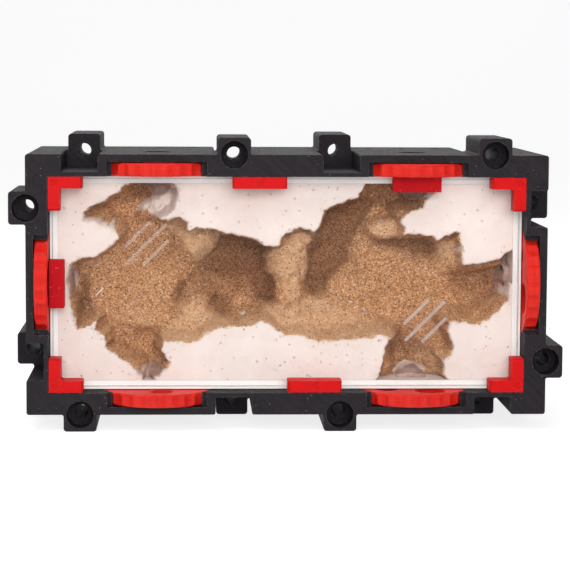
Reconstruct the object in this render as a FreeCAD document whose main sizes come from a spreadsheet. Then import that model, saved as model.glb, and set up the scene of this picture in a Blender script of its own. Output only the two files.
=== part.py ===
import FreeCAD, Part
import Sketcher
import math
import os
import re

# Modular ant habitat: a black printed housing two units wide, a slide-in nest cassette
# behind a clear pane, six thumb-wheel gates and a water store behind the nest.
# Millimetres. Origin: middle of the footprint, on the plane the lower lugs stand on.
# +X right, +Y towards the back, +Z up.

V = FreeCAD.Vector
doc = FreeCAD.newDocument("ant_habitat")
sheet = doc.addObject("Spreadsheet::Sheet", "Sizes")

SIZES = [
    # housing
    ("body_width", "200", "two units of 100"),
    ("body_height", "100", "one unit"),
    ("half_depth", "42", "each printed half"),
    ("rim_width", "8.4", "outer plane to opening"),
    ("edge_round", "1.0", "printed outer corners"),
    ("lug_reach", "6.5", "lug proud of the outer plane"),
    ("lug_inset", "6.5", "lug block below the outer plane"),
    ("lug_width", "12.7", ""),
    ("lug_round", "1.3", ""),
    ("lug_root", "0.8", "hollow round where a lug leaves the outer plane"),
    ("lug_offset", "29.5", "lug axis from port centre"),
    ("lug_hole", "5.5", "M5 clearance, axis on the outer plane"),
    ("bore_width", "10.5", "counterbore for a screw head"),
    ("bore_depth", "9", ""),
    ("nut_flats", "8.2", "M5 nut pocket"),
    ("nut_depth", "4.2", ""),
    ("recess_width", "14", "takes a neighbour's lug"),
    ("recess_depth", "6.7", ""),
    ("recess_round", "0.9", "clears the neighbour's lug_root"),
    ("port_spacing", "50", "port centre from middle"),
    ("web_thick", "2.9", "wall outside the wheel"),
    ("notch_half", "19.15", ""),
    ("notch_depth", "2.7", ""),
    ("pocket_radius", "21.5", ""),
    ("passage_width", "11", ""),
    ("spot_width", "4.2", "three small holes behind each port"),
    ("spot_depth", "5", ""),
    ("spot_pitch", "13.5", ""),
    ("spot_back", "71.5", "from the front face"),
    # gate wheel
    ("axis_depth", "15.6", "wheel axis behind the front face"),
    ("wheel_radius", "21", ""),
    ("wheel_thick", "5", ""),
    ("wheel_gap", "0.1", "opening wall to wheel"),
    ("wheel_bevel", "0.8", ""),
    ("scallop_count", "26", ""),
    ("scallop_cutter", "5.5", ""),
    ("scallop_depth", "0.6", ""),
    ("hole_circle", "11.5", ""),
    ("hole_large", "12", ""),
    ("hole_medium", "9", ""),
    ("hole_small", "6.5", ""),
    ("hole_step", "97", "degrees from the large hole to each other one"),
    ("wheel_bore", "4.1", ""),
    ("axle_width", "4.0", ""),
    ("axle_head", "6.5", ""),
    ("axle_head_thick", "1.2", ""),
    # cassette
    ("tray_front", "9.6", "behind the front face"),
    ("tray_back", "42", ""),
    ("tray_gap", "0.3", "to the opening wall"),
    ("tray_round", "1.0", ""),
    ("tray_wall", "2.8", ""),
    ("tray_floor", "2.4", ""),
    ("lip_thick", "0.8", ""),
    ("pane_thick", "3", ""),
    ("pane_gap", "0.2", ""),
    ("pane_rest", "0.05", "pane to its ledge"),
    ("slit_width", "0.5", ""),
    ("slit_long", "21.6", ""),
    ("slit_short", "13.5", ""),
    ("slit_pitch", "5", ""),
    ("slit_across", "54.2", ""),
    ("slit_up", "15.0", ""),
    ("nest_front", "12.7", "plaster face"),
    ("nest_floor", "34", "chamber floor"),
    ("sand_thick", "1.5", ""),
    ("tunnel_width", "11.5", ""),
    ("tunnel_long", "9", ""),
    # clips and blocks
    ("clip_front", "0.2", ""),
    ("clip_back", "9.4", ""),
    ("clip_gap", "0.15", ""),
    ("clip_arm", "13", ""),
    ("clip_width", "4.5", ""),
    ("clip_square", "4.9", ""),
    ("clip_bevel", "0.8", ""),
    ("clip_long", "20.8", ""),
    ("clip_shift", "10.7", ""),
    ("dimple_width", "3.3", ""),
    ("dimple_depth", "0.6", ""),
    ("dimple_inset", "2.4", ""),
    ("block_front", "4", ""),
    ("block_long", "18.6", ""),
    ("block_deep", "5.7", ""),
    ("block_gap", "0.3", ""),
    ("block_round", "0.4", ""),
    # rear
    ("ledge_front", "74", ""),
    ("ledge_back", "81", ""),
    ("ledge_inner", "7.6", "ledge inside the opening"),
    ("cover_gap", "0.3", ""),
    ("cover_front", "81.1", ""),
    ("cover_hole", "24", ""),
    ("cover_screw_in", "4.2", "screw axis inside the opening wall"),
    ("cover_head", "5.6", ""),
    ("cover_head_thick", "1.6", ""),
    ("cover_shank", "3.0", ""),
    ("cover_pilot", "3.1", ""),
    ("tank_front", "46", ""),
    ("tank_back", "73.8", ""),
    ("tank_gap", "0.8", ""),
    ("tank_wall", "2", ""),
    ("lid_front", "43", ""),
    ("neck_up", "22", ""),
    ("neck_width", "20", ""),
    ("neck_bore", "14.4", ""),
    ("neck_back", "80.3", ""),
    ("plug_width", "14.2", ""),
    ("knob_width", "22", ""),
    ("knob_front", "80.5", ""),
    ("knob_back", "89.4", ""),
    ("wick_width", "6", ""),
    ("wick_bore", "7", ""),
    ("wick_front", "37", ""),
    ("wick_back", "70", ""),
    ("wick_pitch", "40", ""),
    ("wick_down", "27", ""),
    # joining screws
    ("join_inset", "4.2", "axis below both outer planes"),
    ("join_shank", "3.0", ""),
    ("join_clear", "3.4", ""),
    ("join_head", "5.5", ""),
    ("join_head_thick", "3", ""),
    ("join_bore", "6.0", ""),
    ("join_seat", "60", ""),
    ("join_tip", "35", ""),
]
WORDS = {}
for row, (word, value, note) in enumerate(SIZES, start=1):
    sheet.set("A%d" % row, word)
    sheet.set("B%d" % row, value)
    sheet.set("C%d" % row, note)
    sheet.setAlias("B%d" % row, word)
    WORDS[word] = float(value)
doc.recompute()


def size(word):
    """Value of one sheet cell, for the few shapes that are worked out in code."""
    return float(sheet.get(word))


def words_of(text):
    """The text with each word of the sheet replaced by its number."""
    return re.sub(r"[A-Za-z_][A-Za-z_0-9]*", lambda m: "%r" % WORDS[m.group(0)] if m.group(0) in WORDS else m.group(0), text)


def sheet_value(words):
    """Small calculator for + - * / and brackets."""
    tokens = re.findall(r"\d+\.?\d*|[-+*/()]", words)
    place = [0]

    def atom():
        t = tokens[place[0]]
        place[0] += 1
        if t == "(":
            value = total()
            place[0] += 1
            return value
        if t == "-":
            return -atom()
        if t == "+":
            return atom()
        return float(t)

    def product():
        value = atom()
        while place[0] < len(tokens) and tokens[place[0]] in "*/":
            t = tokens[place[0]]
            place[0] += 1
            value = value * atom() if t == "*" else value / atom()
        return value

    def total():
        value = product()
        while place[0] < len(tokens) and tokens[place[0]] in "+-":
            t = tokens[place[0]]
            place[0] += 1
            value = value + product() if t == "+" else value - product()
        return value

    return total()


def guess(text):
    """Start value of a sketch dimension, from the sheet's numbers."""
    return sheet_value(words_of(text))


def E(text):
    return re.sub(r"[A-Za-z_][A-Za-z_0-9]*", lambda m: "Sizes." + m.group(0) if m.group(0) in WORDS else m.group(0), text)


def bind(obj, prop, text):
    obj.setExpression(prop, E(text))


FRONT = "(-half_depth)"
LEFT = "(-body_width / 2)"
RIGHT = "(body_width / 2)"
BOTTOM = "(lug_reach)"
TOP = "(lug_reach + body_height)"
MID = "(lug_reach + body_height / 2)"
OPEN_X = "(body_width / 2 - rim_width)"
OPEN_Z = "(body_height / 2 - rim_width)"


def Y(text):
    """Depth behind the front face, as a y in the part frame."""
    return "(-half_depth + (%s))" % text


def box(name, x0, x1, y0, y1, z0, z1):
    b = doc.addObject("Part::Box", name)
    bind(b, "Placement.Base.x", x0)
    bind(b, "Placement.Base.y", y0)
    bind(b, "Placement.Base.z", z0)
    bind(b, "Length", "(%s) - (%s)" % (x1, x0))
    bind(b, "Width", "(%s) - (%s)" % (y1, y0))
    bind(b, "Height", "(%s) - (%s)" % (z1, z0))
    return b


TURN = {
    "X": FreeCAD.Rotation(V(0, 1, 0), 90),
    "Y": FreeCAD.Rotation(V(1, 0, 0), -90),
    "Z": FreeCAD.Rotation(),
}


def cylinder(name, axis, x, y, z, radius, length):
    """Cylinder that starts at x, y, z and runs along +axis."""
    c = doc.addObject("Part::Cylinder", name)
    c.Placement = FreeCAD.Placement(V(), TURN[axis])
    bind(c, "Placement.Base.x", x)
    bind(c, "Placement.Base.y", y)
    bind(c, "Placement.Base.z", z)
    bind(c, "Radius", radius)
    bind(c, "Height", length)
    return c


def fuse(name, parts):
    f = doc.addObject("Part::MultiFuse", name)
    f.Shapes = parts
    return f


def cut(name, base, tool):
    c = doc.addObject("Part::Cut", name)
    c.Base = base
    c.Tool = tool
    return c


def compound(name, parts):
    c = doc.addObject("Part::Compound", name)
    c.Links = parts
    return c


def round_edges(name, base, radius, wanted):
    """Fillet the edges of base for which wanted(middle, direction) holds."""
    doc.recompute()
    picks = []
    for number, edge in enumerate(base.Shape.Edges, start=1):
        if len(edge.Vertexes) != 2:
            continue
        a, b = edge.Vertexes[0].Point, edge.Vertexes[1].Point
        d = b - a
        d.normalize()
        if wanted((a + b) * 0.5, d):
            picks.append((number, radius, radius))
    if not picks:
        raise RuntimeError("no edge found for " + name)
    f = doc.addObject("Part::Fillet", name)
    f.Base = base
    f.Edges = picks
    return f


# The four faces that carry ports. Sideways is u (x on top and bottom, z on the sides),
# d is the depth below the outer plane.
PORTS = [
    ("top_left", "top", "(-port_spacing)"),
    ("top_right", "top", "(port_spacing)"),
    ("bottom_left", "bottom", "(-port_spacing)"),
    ("bottom_right", "bottom", "(port_spacing)"),
    ("left", "left", MID),
    ("right", "right", MID),
]
# (name, face, centre along the face, level)
LUGS = [
    ("t1", "top", "(-port_spacing - lug_offset)", "back"),
    ("t2", "top", "(-port_spacing + lug_offset)", "front"),
    ("t3", "top", "(port_spacing - lug_offset)", "back"),
    ("t4", "top", "(port_spacing + lug_offset)", "front"),
    ("b1", "bottom", "(-port_spacing - lug_offset)", "front"),
    ("b2", "bottom", "(-port_spacing + lug_offset)", "back"),
    ("b3", "bottom", "(port_spacing - lug_offset)", "front"),
    ("b4", "bottom", "(port_spacing + lug_offset)", "back"),
    ("l1", "left", "(" + MID + " + lug_offset)", "front"),
    ("l2", "left", "(" + MID + " - lug_offset)", "back"),
    ("r1", "right", "(" + MID + " + lug_offset)", "back"),
    ("r2", "right", "(" + MID + " - lug_offset)", "front"),
]


def face_box(name, face, centre, u0, u1, y0, y1, d0, d1):
    u0 = "%s + (%s)" % (centre, u0)
    u1 = "%s + (%s)" % (centre, u1)
    if face == "top":
        return box(name, u0, u1, y0, y1, TOP + " - (%s)" % d1, TOP + " - (%s)" % d0)
    if face == "bottom":
        return box(name, u0, u1, y0, y1, BOTTOM + " + (%s)" % d0, BOTTOM + " + (%s)" % d1)
    if face == "right":
        return box(name, RIGHT + " - (%s)" % d1, RIGHT + " - (%s)" % d0, y0, y1, u0, u1)
    return box(name, LEFT + " + (%s)" % d0, LEFT + " + (%s)" % d1, y0, y1, u0, u1)


def face_cylinder(name, face, centre, u, y, d0, d1, radius):
    """Cylinder square to the face, between the depths d0 and d1."""
    u = "%s + (%s)" % (centre, u)
    length = "(%s) - (%s)" % (d1, d0)
    if face == "top":
        return cylinder(name, "Z", u, y, TOP + " - (%s)" % d1, radius, length)
    if face == "bottom":
        return cylinder(name, "Z", u, y, BOTTOM + " + (%s)" % d0, radius, length)
    if face == "right":
        return cylinder(name, "X", RIGHT + " - (%s)" % d1, y, u, radius, length)
    return cylinder(name, "X", LEFT + " + (%s)" % d0, y, u, radius, length)


def lug_axis(face, centre):
    """x and z of a lug's hole, which lies on the outer plane."""
    if face == "top":
        return centre, TOP
    if face == "bottom":
        return centre, BOTTOM
    if face == "right":
        return RIGHT, centre
    return LEFT, centre


def lug_block(name, face, centre, y0, y1):
    b = face_box(name + "_block", face, centre, "-lug_width / 2", "lug_width / 2", y0, y1, "-lug_reach", "lug_inset")
    reach = size("lug_reach")
    top, bottom = reach * 2 + size("body_height"), 0.0
    side = size("body_width") / 2 + reach

    def wanted(p, d):
        if abs(d.y) < 0.99:
            return False
        return {"top": abs(p.z - top), "bottom": abs(p.z - bottom), "left": abs(p.x + side), "right": abs(p.x - side)}[face] < 0.01

    return round_edges(name + "_lug", b, size("lug_round"), wanted)


def shell(name, y0, y1):
    b = box(name + "_slab", LEFT, RIGHT, y0, y1, BOTTOM, TOP)
    return round_edges(name + "_rounded", b, size("edge_round"), lambda p, d: abs(d.y) > 0.99)


def outer_lines(level, half_width, on_lugs):
    """x and z of the lines on the outer planes, half_width to each side of this half's lugs or recesses."""
    lines = []
    for name, face, centre, own in LUGS:
        if (own == level) != on_lugs:
            continue
        at, plane = sheet_value(words_of(centre)), {"top": TOP, "bottom": BOTTOM, "left": LEFT, "right": RIGHT}[face]
        plane = sheet_value(words_of(plane))
        for side in (-1, 1):
            u = at + side * half_width
            lines.append((u, plane) if face in ("top", "bottom") else (plane, u))
    return lines


def round_joints(name, base, level):
    """Rounds the roots of the lugs and the mouths of the recesses."""
    doc.recompute()
    roots = outer_lines(level, size("lug_width") / 2, True)
    mouths = outer_lines(level, size("recess_width") / 2, False)
    picks = []
    for number, edge in enumerate(base.Shape.Edges, start=1):
        if len(edge.Vertexes) != 2:
            continue
        a, b = edge.Vertexes[0].Point, edge.Vertexes[1].Point
        if abs(a.x - b.x) > 0.01 or abs(a.z - b.z) > 0.01 or abs(a.y - b.y) < 1:
            continue
        for lines, word in ((roots, "lug_root"), (mouths, "recess_round")):
            if any(abs(a.x - x) < 0.02 and abs(a.z - z) < 0.02 for x, z in lines):
                picks.append((number, size(word), size(word)))
    if len(picks) < len(roots) + len(mouths):
        raise RuntimeError("lines missing for " + name)
    f = doc.addObject("Part::Fillet", name)
    f.Base = base
    f.Edges = picks
    return f


# ---------------------------------------------------------------- front half of the housing
solid = [shell("front", FRONT, "0")]
away = [box("front_opening", "-" + OPEN_X, OPEN_X, FRONT + " - 1", "1", MID + " - " + OPEN_Z, MID + " + " + OPEN_Z)]
for name, face, centre in PORTS:
    away.append(face_box("notch_" + name, face, centre, "-notch_half", "notch_half", FRONT + " - 1", Y("notch_depth"), "web_thick", "rim_width + 1"))
    away.append(face_cylinder("wheel_pocket_" + name, face, centre, "0", Y("axis_depth"), "web_thick", "rim_width + 1", "pocket_radius"))
    away.append(face_cylinder("passage_" + name, face, centre, "0", Y("axis_depth + hole_circle"), "-1", "web_thick + 1", "passage_width / 2"))
    away.append(face_cylinder("axle_hole_" + name, face, centre, "0", Y("axis_depth"), "-1", "web_thick + 1", "axle_width / 2"))
    away.append(face_cylinder("axle_seat_" + name, face, centre, "0", Y("axis_depth"), "-1", "axle_head_thick", "axle_head / 2"))
for name, face, centre, level in LUGS:
    x, z = lug_axis(face, centre)
    if level == "front":
        solid.append(lug_block("front_" + name, face, centre, FRONT, "0"))
        away.append(cylinder("front_hole_" + name, "Y", x, FRONT + " - 1", z, "lug_hole / 2", "half_depth + 2"))
        away.append(cylinder("front_bore_" + name, "Y", x, FRONT + " - 1", z, "bore_width / 2", "bore_depth + 1"))
    else:
        away.append(face_box("front_recess_" + name, face, centre, "-recess_width / 2", "recess_width / 2", FRONT + " - 1", "1", "-1", "recess_depth"))
CORNERS = []
for sx, ex in ((-1, LEFT + " + join_inset"), (1, RIGHT + " - join_inset")):
    for sz, ez in ((-1, BOTTOM + " + join_inset"), (1, TOP + " - join_inset")):
        CORNERS.append((sx, sz, ex, ez))
for number, (sx, sz, ex, ez) in enumerate(CORNERS, start=1):
    away.append(cylinder("join_pilot_%d" % number, "Y", ex, Y("join_tip - 0.5"), ez, "join_shank / 2", "half_depth - join_tip + 1.5"))
front_frame = round_joints("front_frame", cut("front_cut", fuse("front_solid", solid), fuse("front_away", away)), "front")

# ---------------------------------------------------------------- rear half of the housing
BACK = "(half_depth)"
solid = [shell("rear", "0", BACK)]
away = [
    box("rear_opening", "-" + OPEN_X, OPEN_X, "-1", Y("ledge_front"), MID + " - " + OPEN_Z, MID + " + " + OPEN_Z),
    box("rear_window", "-" + OPEN_X + " + ledge_inner", OPEN_X + " - ledge_inner", "-1", BACK + " + 1",
        MID + " - " + OPEN_Z + " + ledge_inner", MID + " + " + OPEN_Z + " - ledge_inner"),
    box("rear_seat", "-" + OPEN_X, OPEN_X, Y("ledge_back"), BACK + " + 1", MID + " - " + OPEN_Z, MID + " + " + OPEN_Z),
]
for name, face, centre in PORTS:
    for number, shift in enumerate(("-spot_pitch", "0", "spot_pitch"), start=1):
        away.append(face_cylinder("spot_%s_%d" % (name, number), face, centre, shift, Y("spot_back"), "-1", "spot_depth", "spot_width / 2"))
for name, face, centre, level in LUGS:
    x, z = lug_axis(face, centre)
    if level == "back":
        solid.append(lug_block("rear_" + name, face, centre, "0", BACK))
        away.append(cylinder("rear_hole_" + name, "Y", x, "-1", z, "lug_hole / 2", "half_depth + 2"))
        nut = doc.addObject("Part::Prism", "nut_pocket_" + name)
        nut.Polygon = 6
        nut.Placement = FreeCAD.Placement(V(), TURN["Y"])
        bind(nut, "Placement.Base.x", x)
        bind(nut, "Placement.Base.y", BACK + " - nut_depth")
        bind(nut, "Placement.Base.z", z)
        bind(nut, "Circumradius", "nut_flats / sqrt(3)")
        bind(nut, "Height", "nut_depth + 1")
        away.append(nut)
    else:
        away.append(face_box("rear_recess_" + name, face, centre, "-recess_width / 2", "recess_width / 2", "-1", BACK + " + 1", "-1", "recess_depth"))
for number, (sx, sz, ex, ez) in enumerate(CORNERS, start=1):
    away.append(cylinder("join_hole_%d" % number, "Y", ex, "-1", ez, "join_clear / 2", "half_depth + 2"))
    away.append(cylinder("join_well_%d" % number, "Y", ex, Y("join_seat"), ez, "join_bore / 2", "2 * half_depth - join_seat + 1"))
COVER_SCREWS = [(sx, sz) for sz in (-1, 1) for sx in (-1, 0, 1)]


def cover_axis(sx, sz):
    return "%d * (%s - cover_screw_in)" % (sx, OPEN_X), "%s + %d * (%s - cover_screw_in)" % (MID, sz, OPEN_Z)


for number, (sx, sz) in enumerate(COVER_SCREWS, start=1):
    x, z = cover_axis(sx, sz)
    away.append(cylinder("cover_pilot_%d" % number, "Y", x, Y("ledge_front + 0.6"), z, "cover_pilot / 2", "ledge_back - ledge_front + 1"))
rear_frame = round_joints("rear_frame", cut("rear_cut", fuse("rear_solid", solid), fuse("rear_away", away)), "back")

# ---------------------------------------------------------------- screws that join the halves
parts = []
for number, (sx, sz, ex, ez) in enumerate(CORNERS, start=1):
    head = cylinder("join_head_%d" % number, "Y", ex, Y("join_seat"), ez, "join_head / 2", "join_head_thick")
    shank = cylinder("join_shank_%d" % number, "Y", ex, Y("join_tip"), ez, "join_shank / 2", "join_seat - join_tip + 0.5")
    drive = doc.addObject("Part::Prism", "join_drive_%d" % number)
    drive.Polygon = 6
    drive.Placement = FreeCAD.Placement(V(), TURN["Y"])
    bind(drive, "Placement.Base.x", ex)
    bind(drive, "Placement.Base.y", Y("join_seat + join_head_thick - 1.6"))
    bind(drive, "Placement.Base.z", ez)
    bind(drive, "Circumradius", "2.5 / sqrt(3)")
    bind(drive, "Height", "2")
    parts.append(cut("join_screw_%d" % number, fuse("join_blank_%d" % number, [head, shank]), drive))
frame_screws = compound("frame_screws", parts)

# ---------------------------------------------------------------- pins the wheels turn on
parts = []
for name, face, centre in PORTS:
    pin = face_cylinder("axle_pin_" + name, face, centre, "0", Y("axis_depth"), "0.2", "rim_width - wheel_gap - 0.25", "axle_width / 2")
    head = face_cylinder("axle_cap_" + name, face, centre, "0", Y("axis_depth"), "0", "axle_head_thick", "axle_head / 2")
    parts.append(fuse("axle_" + name, [pin, head]))
gate_axles = compound("gate_axles", parts)


# ---------------------------------------------------------------- sketch helpers
def new_body(name):
    b = doc.addObject("PartDesign::Body", name)
    return b


def sketch_on(body, role, name, lift=None):
    s = body.newObject("Sketcher::SketchObject", name)
    plane = [f for f in body.Origin.OriginFeatures if f.Role == role][0]
    s.AttachmentSupport = [(plane, "")]
    s.MapMode = "FlatFace"
    if lift is not None:
        bind(s, "AttachmentOffset.Base.z", lift)
    return s


def outline(sketch, corners):
    """Closed outline through corners given as sheet expressions, each corner dimensioned from the origin."""
    pts = [V(guess(a), guess(b), 0) for a, b in corners]
    first = sketch.GeometryCount
    count = len(pts)
    for i in range(count):
        sketch.addGeometry(Part.LineSegment(pts[i], pts[(i + 1) % count]), False)
    for i in range(count):
        sketch.addConstraint(Sketcher.Constraint("Coincident", first + i, 2, first + (i + 1) % count, 1))
    for i, (a, b) in enumerate(corners):
        for kind, text, value in (("DistanceX", a, pts[i].x), ("DistanceY", b, pts[i].y)):
            n = sketch.addConstraint(Sketcher.Constraint(kind, -1, 1, first + i, 1, value))
            bind(sketch, "Constraints[%d]" % n, text)


def ring(sketch, a, b, diameter):
    """Circle at a sheet position."""
    first = sketch.GeometryCount
    sketch.addGeometry(Part.Circle(V(guess(a), guess(b), 0), V(0, 0, 1), guess(diameter) / 2), False)
    for kind, text, value in (("DistanceX", a, guess(a)), ("DistanceY", b, guess(b))):
        n = sketch.addConstraint(Sketcher.Constraint(kind, -1, 1, first, 3, value))
        bind(sketch, "Constraints[%d]" % n, text)
    n = sketch.addConstraint(Sketcher.Constraint("Diameter", first, guess(diameter)))
    bind(sketch, "Constraints[%d]" % n, diameter)


def pad(body, sketch, name, length, backwards=False, both=False):
    f = body.newObject("PartDesign::Pad", name)
    f.Profile = sketch
    bind(f, "Length", length)
    f.Reversed = backwards
    if both:
        f.SideType = "Symmetric"
    sketch.Visibility = False
    return f


def pocket(body, sketch, name, length, backwards=False, both=False):
    f = body.newObject("PartDesign::Pocket", name)
    f.Profile = sketch
    bind(f, "Length", length)
    f.Reversed = backwards
    if both:
        f.SideType = "Symmetric"
    sketch.Visibility = False
    return f


def axis_of(body, role):
    return [f for f in body.Origin.OriginFeatures if f.Role == role][0]


def volume(obj):
    doc.recompute()
    return obj.Shape.Volume


def check_less(feature, before, name):
    if not volume(feature) < before - 1e-6:
        raise RuntimeError("nothing cut by " + name)


# ---------------------------------------------------------------- gate wheels
# Local frame of a wheel: z along its axis, away from the middle of the habitat,
# -y towards the front. The outer face is the one next to the web.
def gate(label, turn_about_y, angle, x, z):
    b = new_body(label)
    s = sketch_on(b, "XZ_Plane", label + "_profile")
    r, t, c = "wheel_radius", "wheel_thick / 2", "wheel_bevel"
    outline(s, [
        ("wheel_bore / 2", "-%s" % t), ("%s - %s" % (r, c), "-%s" % t), (r, "-%s + %s" % (t, c)),
        (r, "%s - %s" % (t, c)), ("%s - %s" % (r, c), t), ("wheel_bore / 2", t),
    ])
    disc = b.newObject("PartDesign::Revolution", label + "_disc")
    disc.Profile = s
    disc.ReferenceAxis = (axis_of(b, "Z_Axis"), [""])
    disc.Angle = 360
    s.Visibility = False
    before = volume(disc)
    s = sketch_on(b, "XY_Plane", label + "_scallop_line")
    ring(s, "0", "-(wheel_radius + scallop_cutter - scallop_depth)", "2 * scallop_cutter")
    one = pocket(b, s, label + "_scallop", "wheel_thick + 2", both=True)
    check_less(one, before, label + " scallop")
    before = volume(one)
    many = b.newObject("PartDesign::PolarPattern", label + "_scallops")
    many.Originals = [one]
    many.Axis = (axis_of(b, "Z_Axis"), [""])
    many.Angle = 360
    bind(many, "Occurrences", "scallop_count")
    b.Tip = many
    check_less(many, before, label + " scallops")
    before = volume(many)
    s = sketch_on(b, "XY_Plane", label + "_hole_lines")
    step = math.radians(size("hole_step"))
    far = size("hole_circle")
    ring(s, "0", "-hole_circle", "hole_large")
    for word, sign in (("hole_medium", 1), ("hole_small", -1)):
        first = s.GeometryCount
        s.addGeometry(Part.Circle(V(sign * far * math.sin(step), -far * math.cos(step), 0), V(0, 0, 1), size(word) / 2), False)
        n = s.addConstraint(Sketcher.Constraint("DistanceX", -1, 1, first, 3, sign * far * math.sin(step)))
        bind(s, "Constraints[%d]" % n, "%d * hole_circle * sin(hole_step * 1 deg)" % sign)
        n = s.addConstraint(Sketcher.Constraint("DistanceY", -1, 1, first, 3, -far * math.cos(step)))
        bind(s, "Constraints[%d]" % n, "-hole_circle * cos(hole_step * 1 deg)")
        n = s.addConstraint(Sketcher.Constraint("Diameter", first, size(word)))
        bind(s, "Constraints[%d]" % n, word)
    holes = pocket(b, s, label + "_holes", "wheel_thick + 2", both=True)
    check_less(holes, before, label + " holes")
    b.Tip = holes
    b.Placement = FreeCAD.Placement(V(), FreeCAD.Rotation(V(0, 1, 0), turn_about_y) * FreeCAD.Rotation(V(0, 0, 1), angle))
    bind(b, "Placement.Base.x", x)
    bind(b, "Placement.Base.y", Y("axis_depth"))
    bind(b, "Placement.Base.z", z)
    return b


IN = "rim_width - wheel_gap - wheel_thick / 2"
gates = [
    gate("gate_top_left", 0, 4, "-port_spacing", TOP + " - (%s)" % IN),
    gate("gate_top_right", 0, -8, "port_spacing", TOP + " - (%s)" % IN),
    gate("gate_bottom_left", 180, -106, "-port_spacing", BOTTOM + " + (%s)" % IN),
    gate("gate_bottom_right", 180, -31, "port_spacing", BOTTOM + " + (%s)" % IN),
    gate("gate_left", -90, 2.5, LEFT + " + (%s)" % IN, MID),
    gate("gate_right", 90, 29, RIGHT + " - (%s)" % IN, MID),
]

# ---------------------------------------------------------------- tray of the nest cassette
TX = "(%s - tray_gap)" % OPEN_X
TZ = "(%s - tray_gap)" % OPEN_Z
b = box("tray_slab", "-" + TX, TX, Y("tray_front"), Y("tray_back"), MID + " - " + TZ, MID + " + " + TZ)
b = round_edges("tray_rounded", b, size("tray_round"), lambda p, d: abs(d.y) > 0.99)
IX = "(%s - tray_wall)" % TX
IZ = "(%s - tray_wall)" % TZ
LX = "(%s - lip_thick)" % TX
LZ = "(%s - lip_thick)" % TZ
away = [
    box("tray_hollow", "-" + IX, IX, Y("tray_front - 1"), Y("tray_back - tray_floor"), MID + " - " + IZ, MID + " + " + IZ),
    box("tray_rebate", "-" + LX, LX, Y("tray_front - 1"), Y("tray_front + pane_thick + pane_rest"), MID + " - " + LZ, MID + " + " + LZ),
]
for name, face, centre in PORTS:
    away.append(face_cylinder("tray_port_" + name, face, centre, "0", Y("axis_depth + hole_circle"), "rim_width - 1", "rim_width + tray_gap + tray_wall + 1", "passage_width / 2"))
WICKS = (-1.5, -0.5, 0.5, 1.5)
for number, k in enumerate(WICKS, start=1):
    away.append(cylinder("tray_wick_%d" % number, "Y", "%s * wick_pitch" % k, Y("tray_back - tray_floor - 1"), MID + " - wick_down", "wick_bore / 2", "tray_floor + 2"))
nest_tray = cut("nest_tray", b, fuse("tray_away", away))

# ---------------------------------------------------------------- plaster and sand
# Outline of the carved chamber at the plaster face, x and z from the middle of the nest.
CHAMBER = [
    (-61.7, 38.5), (-43.6, 38.5), (-41.3, 34.7), (-42.8, 29.7), (-49.0, 24.6), (-45.9, 23.5),
    (-41.3, 25.8), (-38.6, 23.9), (-37.8, 19.6), (-35.1, 21.2), (-27.0, 20.4), (-2.5, 14.2),
    (0.6, 19.7), (5.2, 20.8), (11.1, 19.3), (14.1, 28.2), (27.3, 32.9), (30.7, 38.5), (58.0, 38.5),
    (58.0, 34.9), (53.8, 31.8), (53.0, 28.7), (44.9, 25.2), (46.1, 18.2), (50.0, 19.0),
    (59.8, 16.6), (68.4, 19.4), (69.3, 6.9), (83.4, 8.9), (87.6, 12.0), (87.1, -6.8), (75.9, -17.1),
    (63.7, -16.3), (65.0, -23.3), (65.8, -26.5), (64.3, -29.7), (61.5, -30.8), (63.2, -38.5),
    (34.9, -38.5), (41.0, -22.5), (37.5, -20.6), (13.3, -23.3), (-0.4, -20.6), (-9.4, -15.5),
    (-27.7, -18.6), (-37.4, -24.1), (-47.1, -23.3), (-48.3, -26.4), (-44.4, -32.3), (-51.0, -38.5),
    (-56.8, -38.5), (-61.5, -31.9), (-70.0, -26.4), (-70.7, -20.9), (-74.2, -19.0), (-73.8, -15.5),
    (-81.6, -18.6), (-85.3, -1.0), (-83.8, 7.1), (-70.2, 11.8), (-65.2, 17.2), (-66.4, 19.6),
    (-74.1, 23.4), (-78.7, 23.4), (-78.7, 27.3),
]


def chamber(name, depth0, depth1):
    """Straight prism of the chamber between two depths behind the front face."""
    mid = size("lug_reach") + size("body_height") / 2
    y0 = depth0 - size("half_depth")
    pts = [V(x, y0, z + mid) for x, z in CHAMBER]
    face = Part.Face(Part.makePolygon(pts + pts[:1]))
    f = doc.addObject("Part::Feature", name)
    f.Shape = face.extrude(V(0, depth1 - depth0, 0))
    return f


slab = box("plaster_slab", "-" + IX, IX, Y("nest_front"), Y("tray_back - tray_floor"), MID + " - " + IZ, MID + " + " + IZ)
away = [chamber("chamber_space", size("nest_front") - 1, size("nest_floor"))]
for name, face, centre in PORTS:
    away.append(face_cylinder("tunnel_" + name, face, centre, "0", Y("axis_depth + hole_circle"), "rim_width + tray_gap + tray_wall - 1",
                              "rim_width + tray_gap + tray_wall + tunnel_long", "tunnel_width / 2"))
for number, k in enumerate(WICKS, start=1):
    away.append(cylinder("plaster_wick_%d" % number, "Y", "%s * wick_pitch" % k, Y("wick_front - 0.5"), MID + " - wick_down", "wick_bore / 2", "6"))
plaster_nest = cut("plaster_nest", slab, fuse("plaster_away", away))
sand_floor = chamber("sand_floor", size("nest_floor") - size("sand_thick"), size("nest_floor"))

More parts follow.
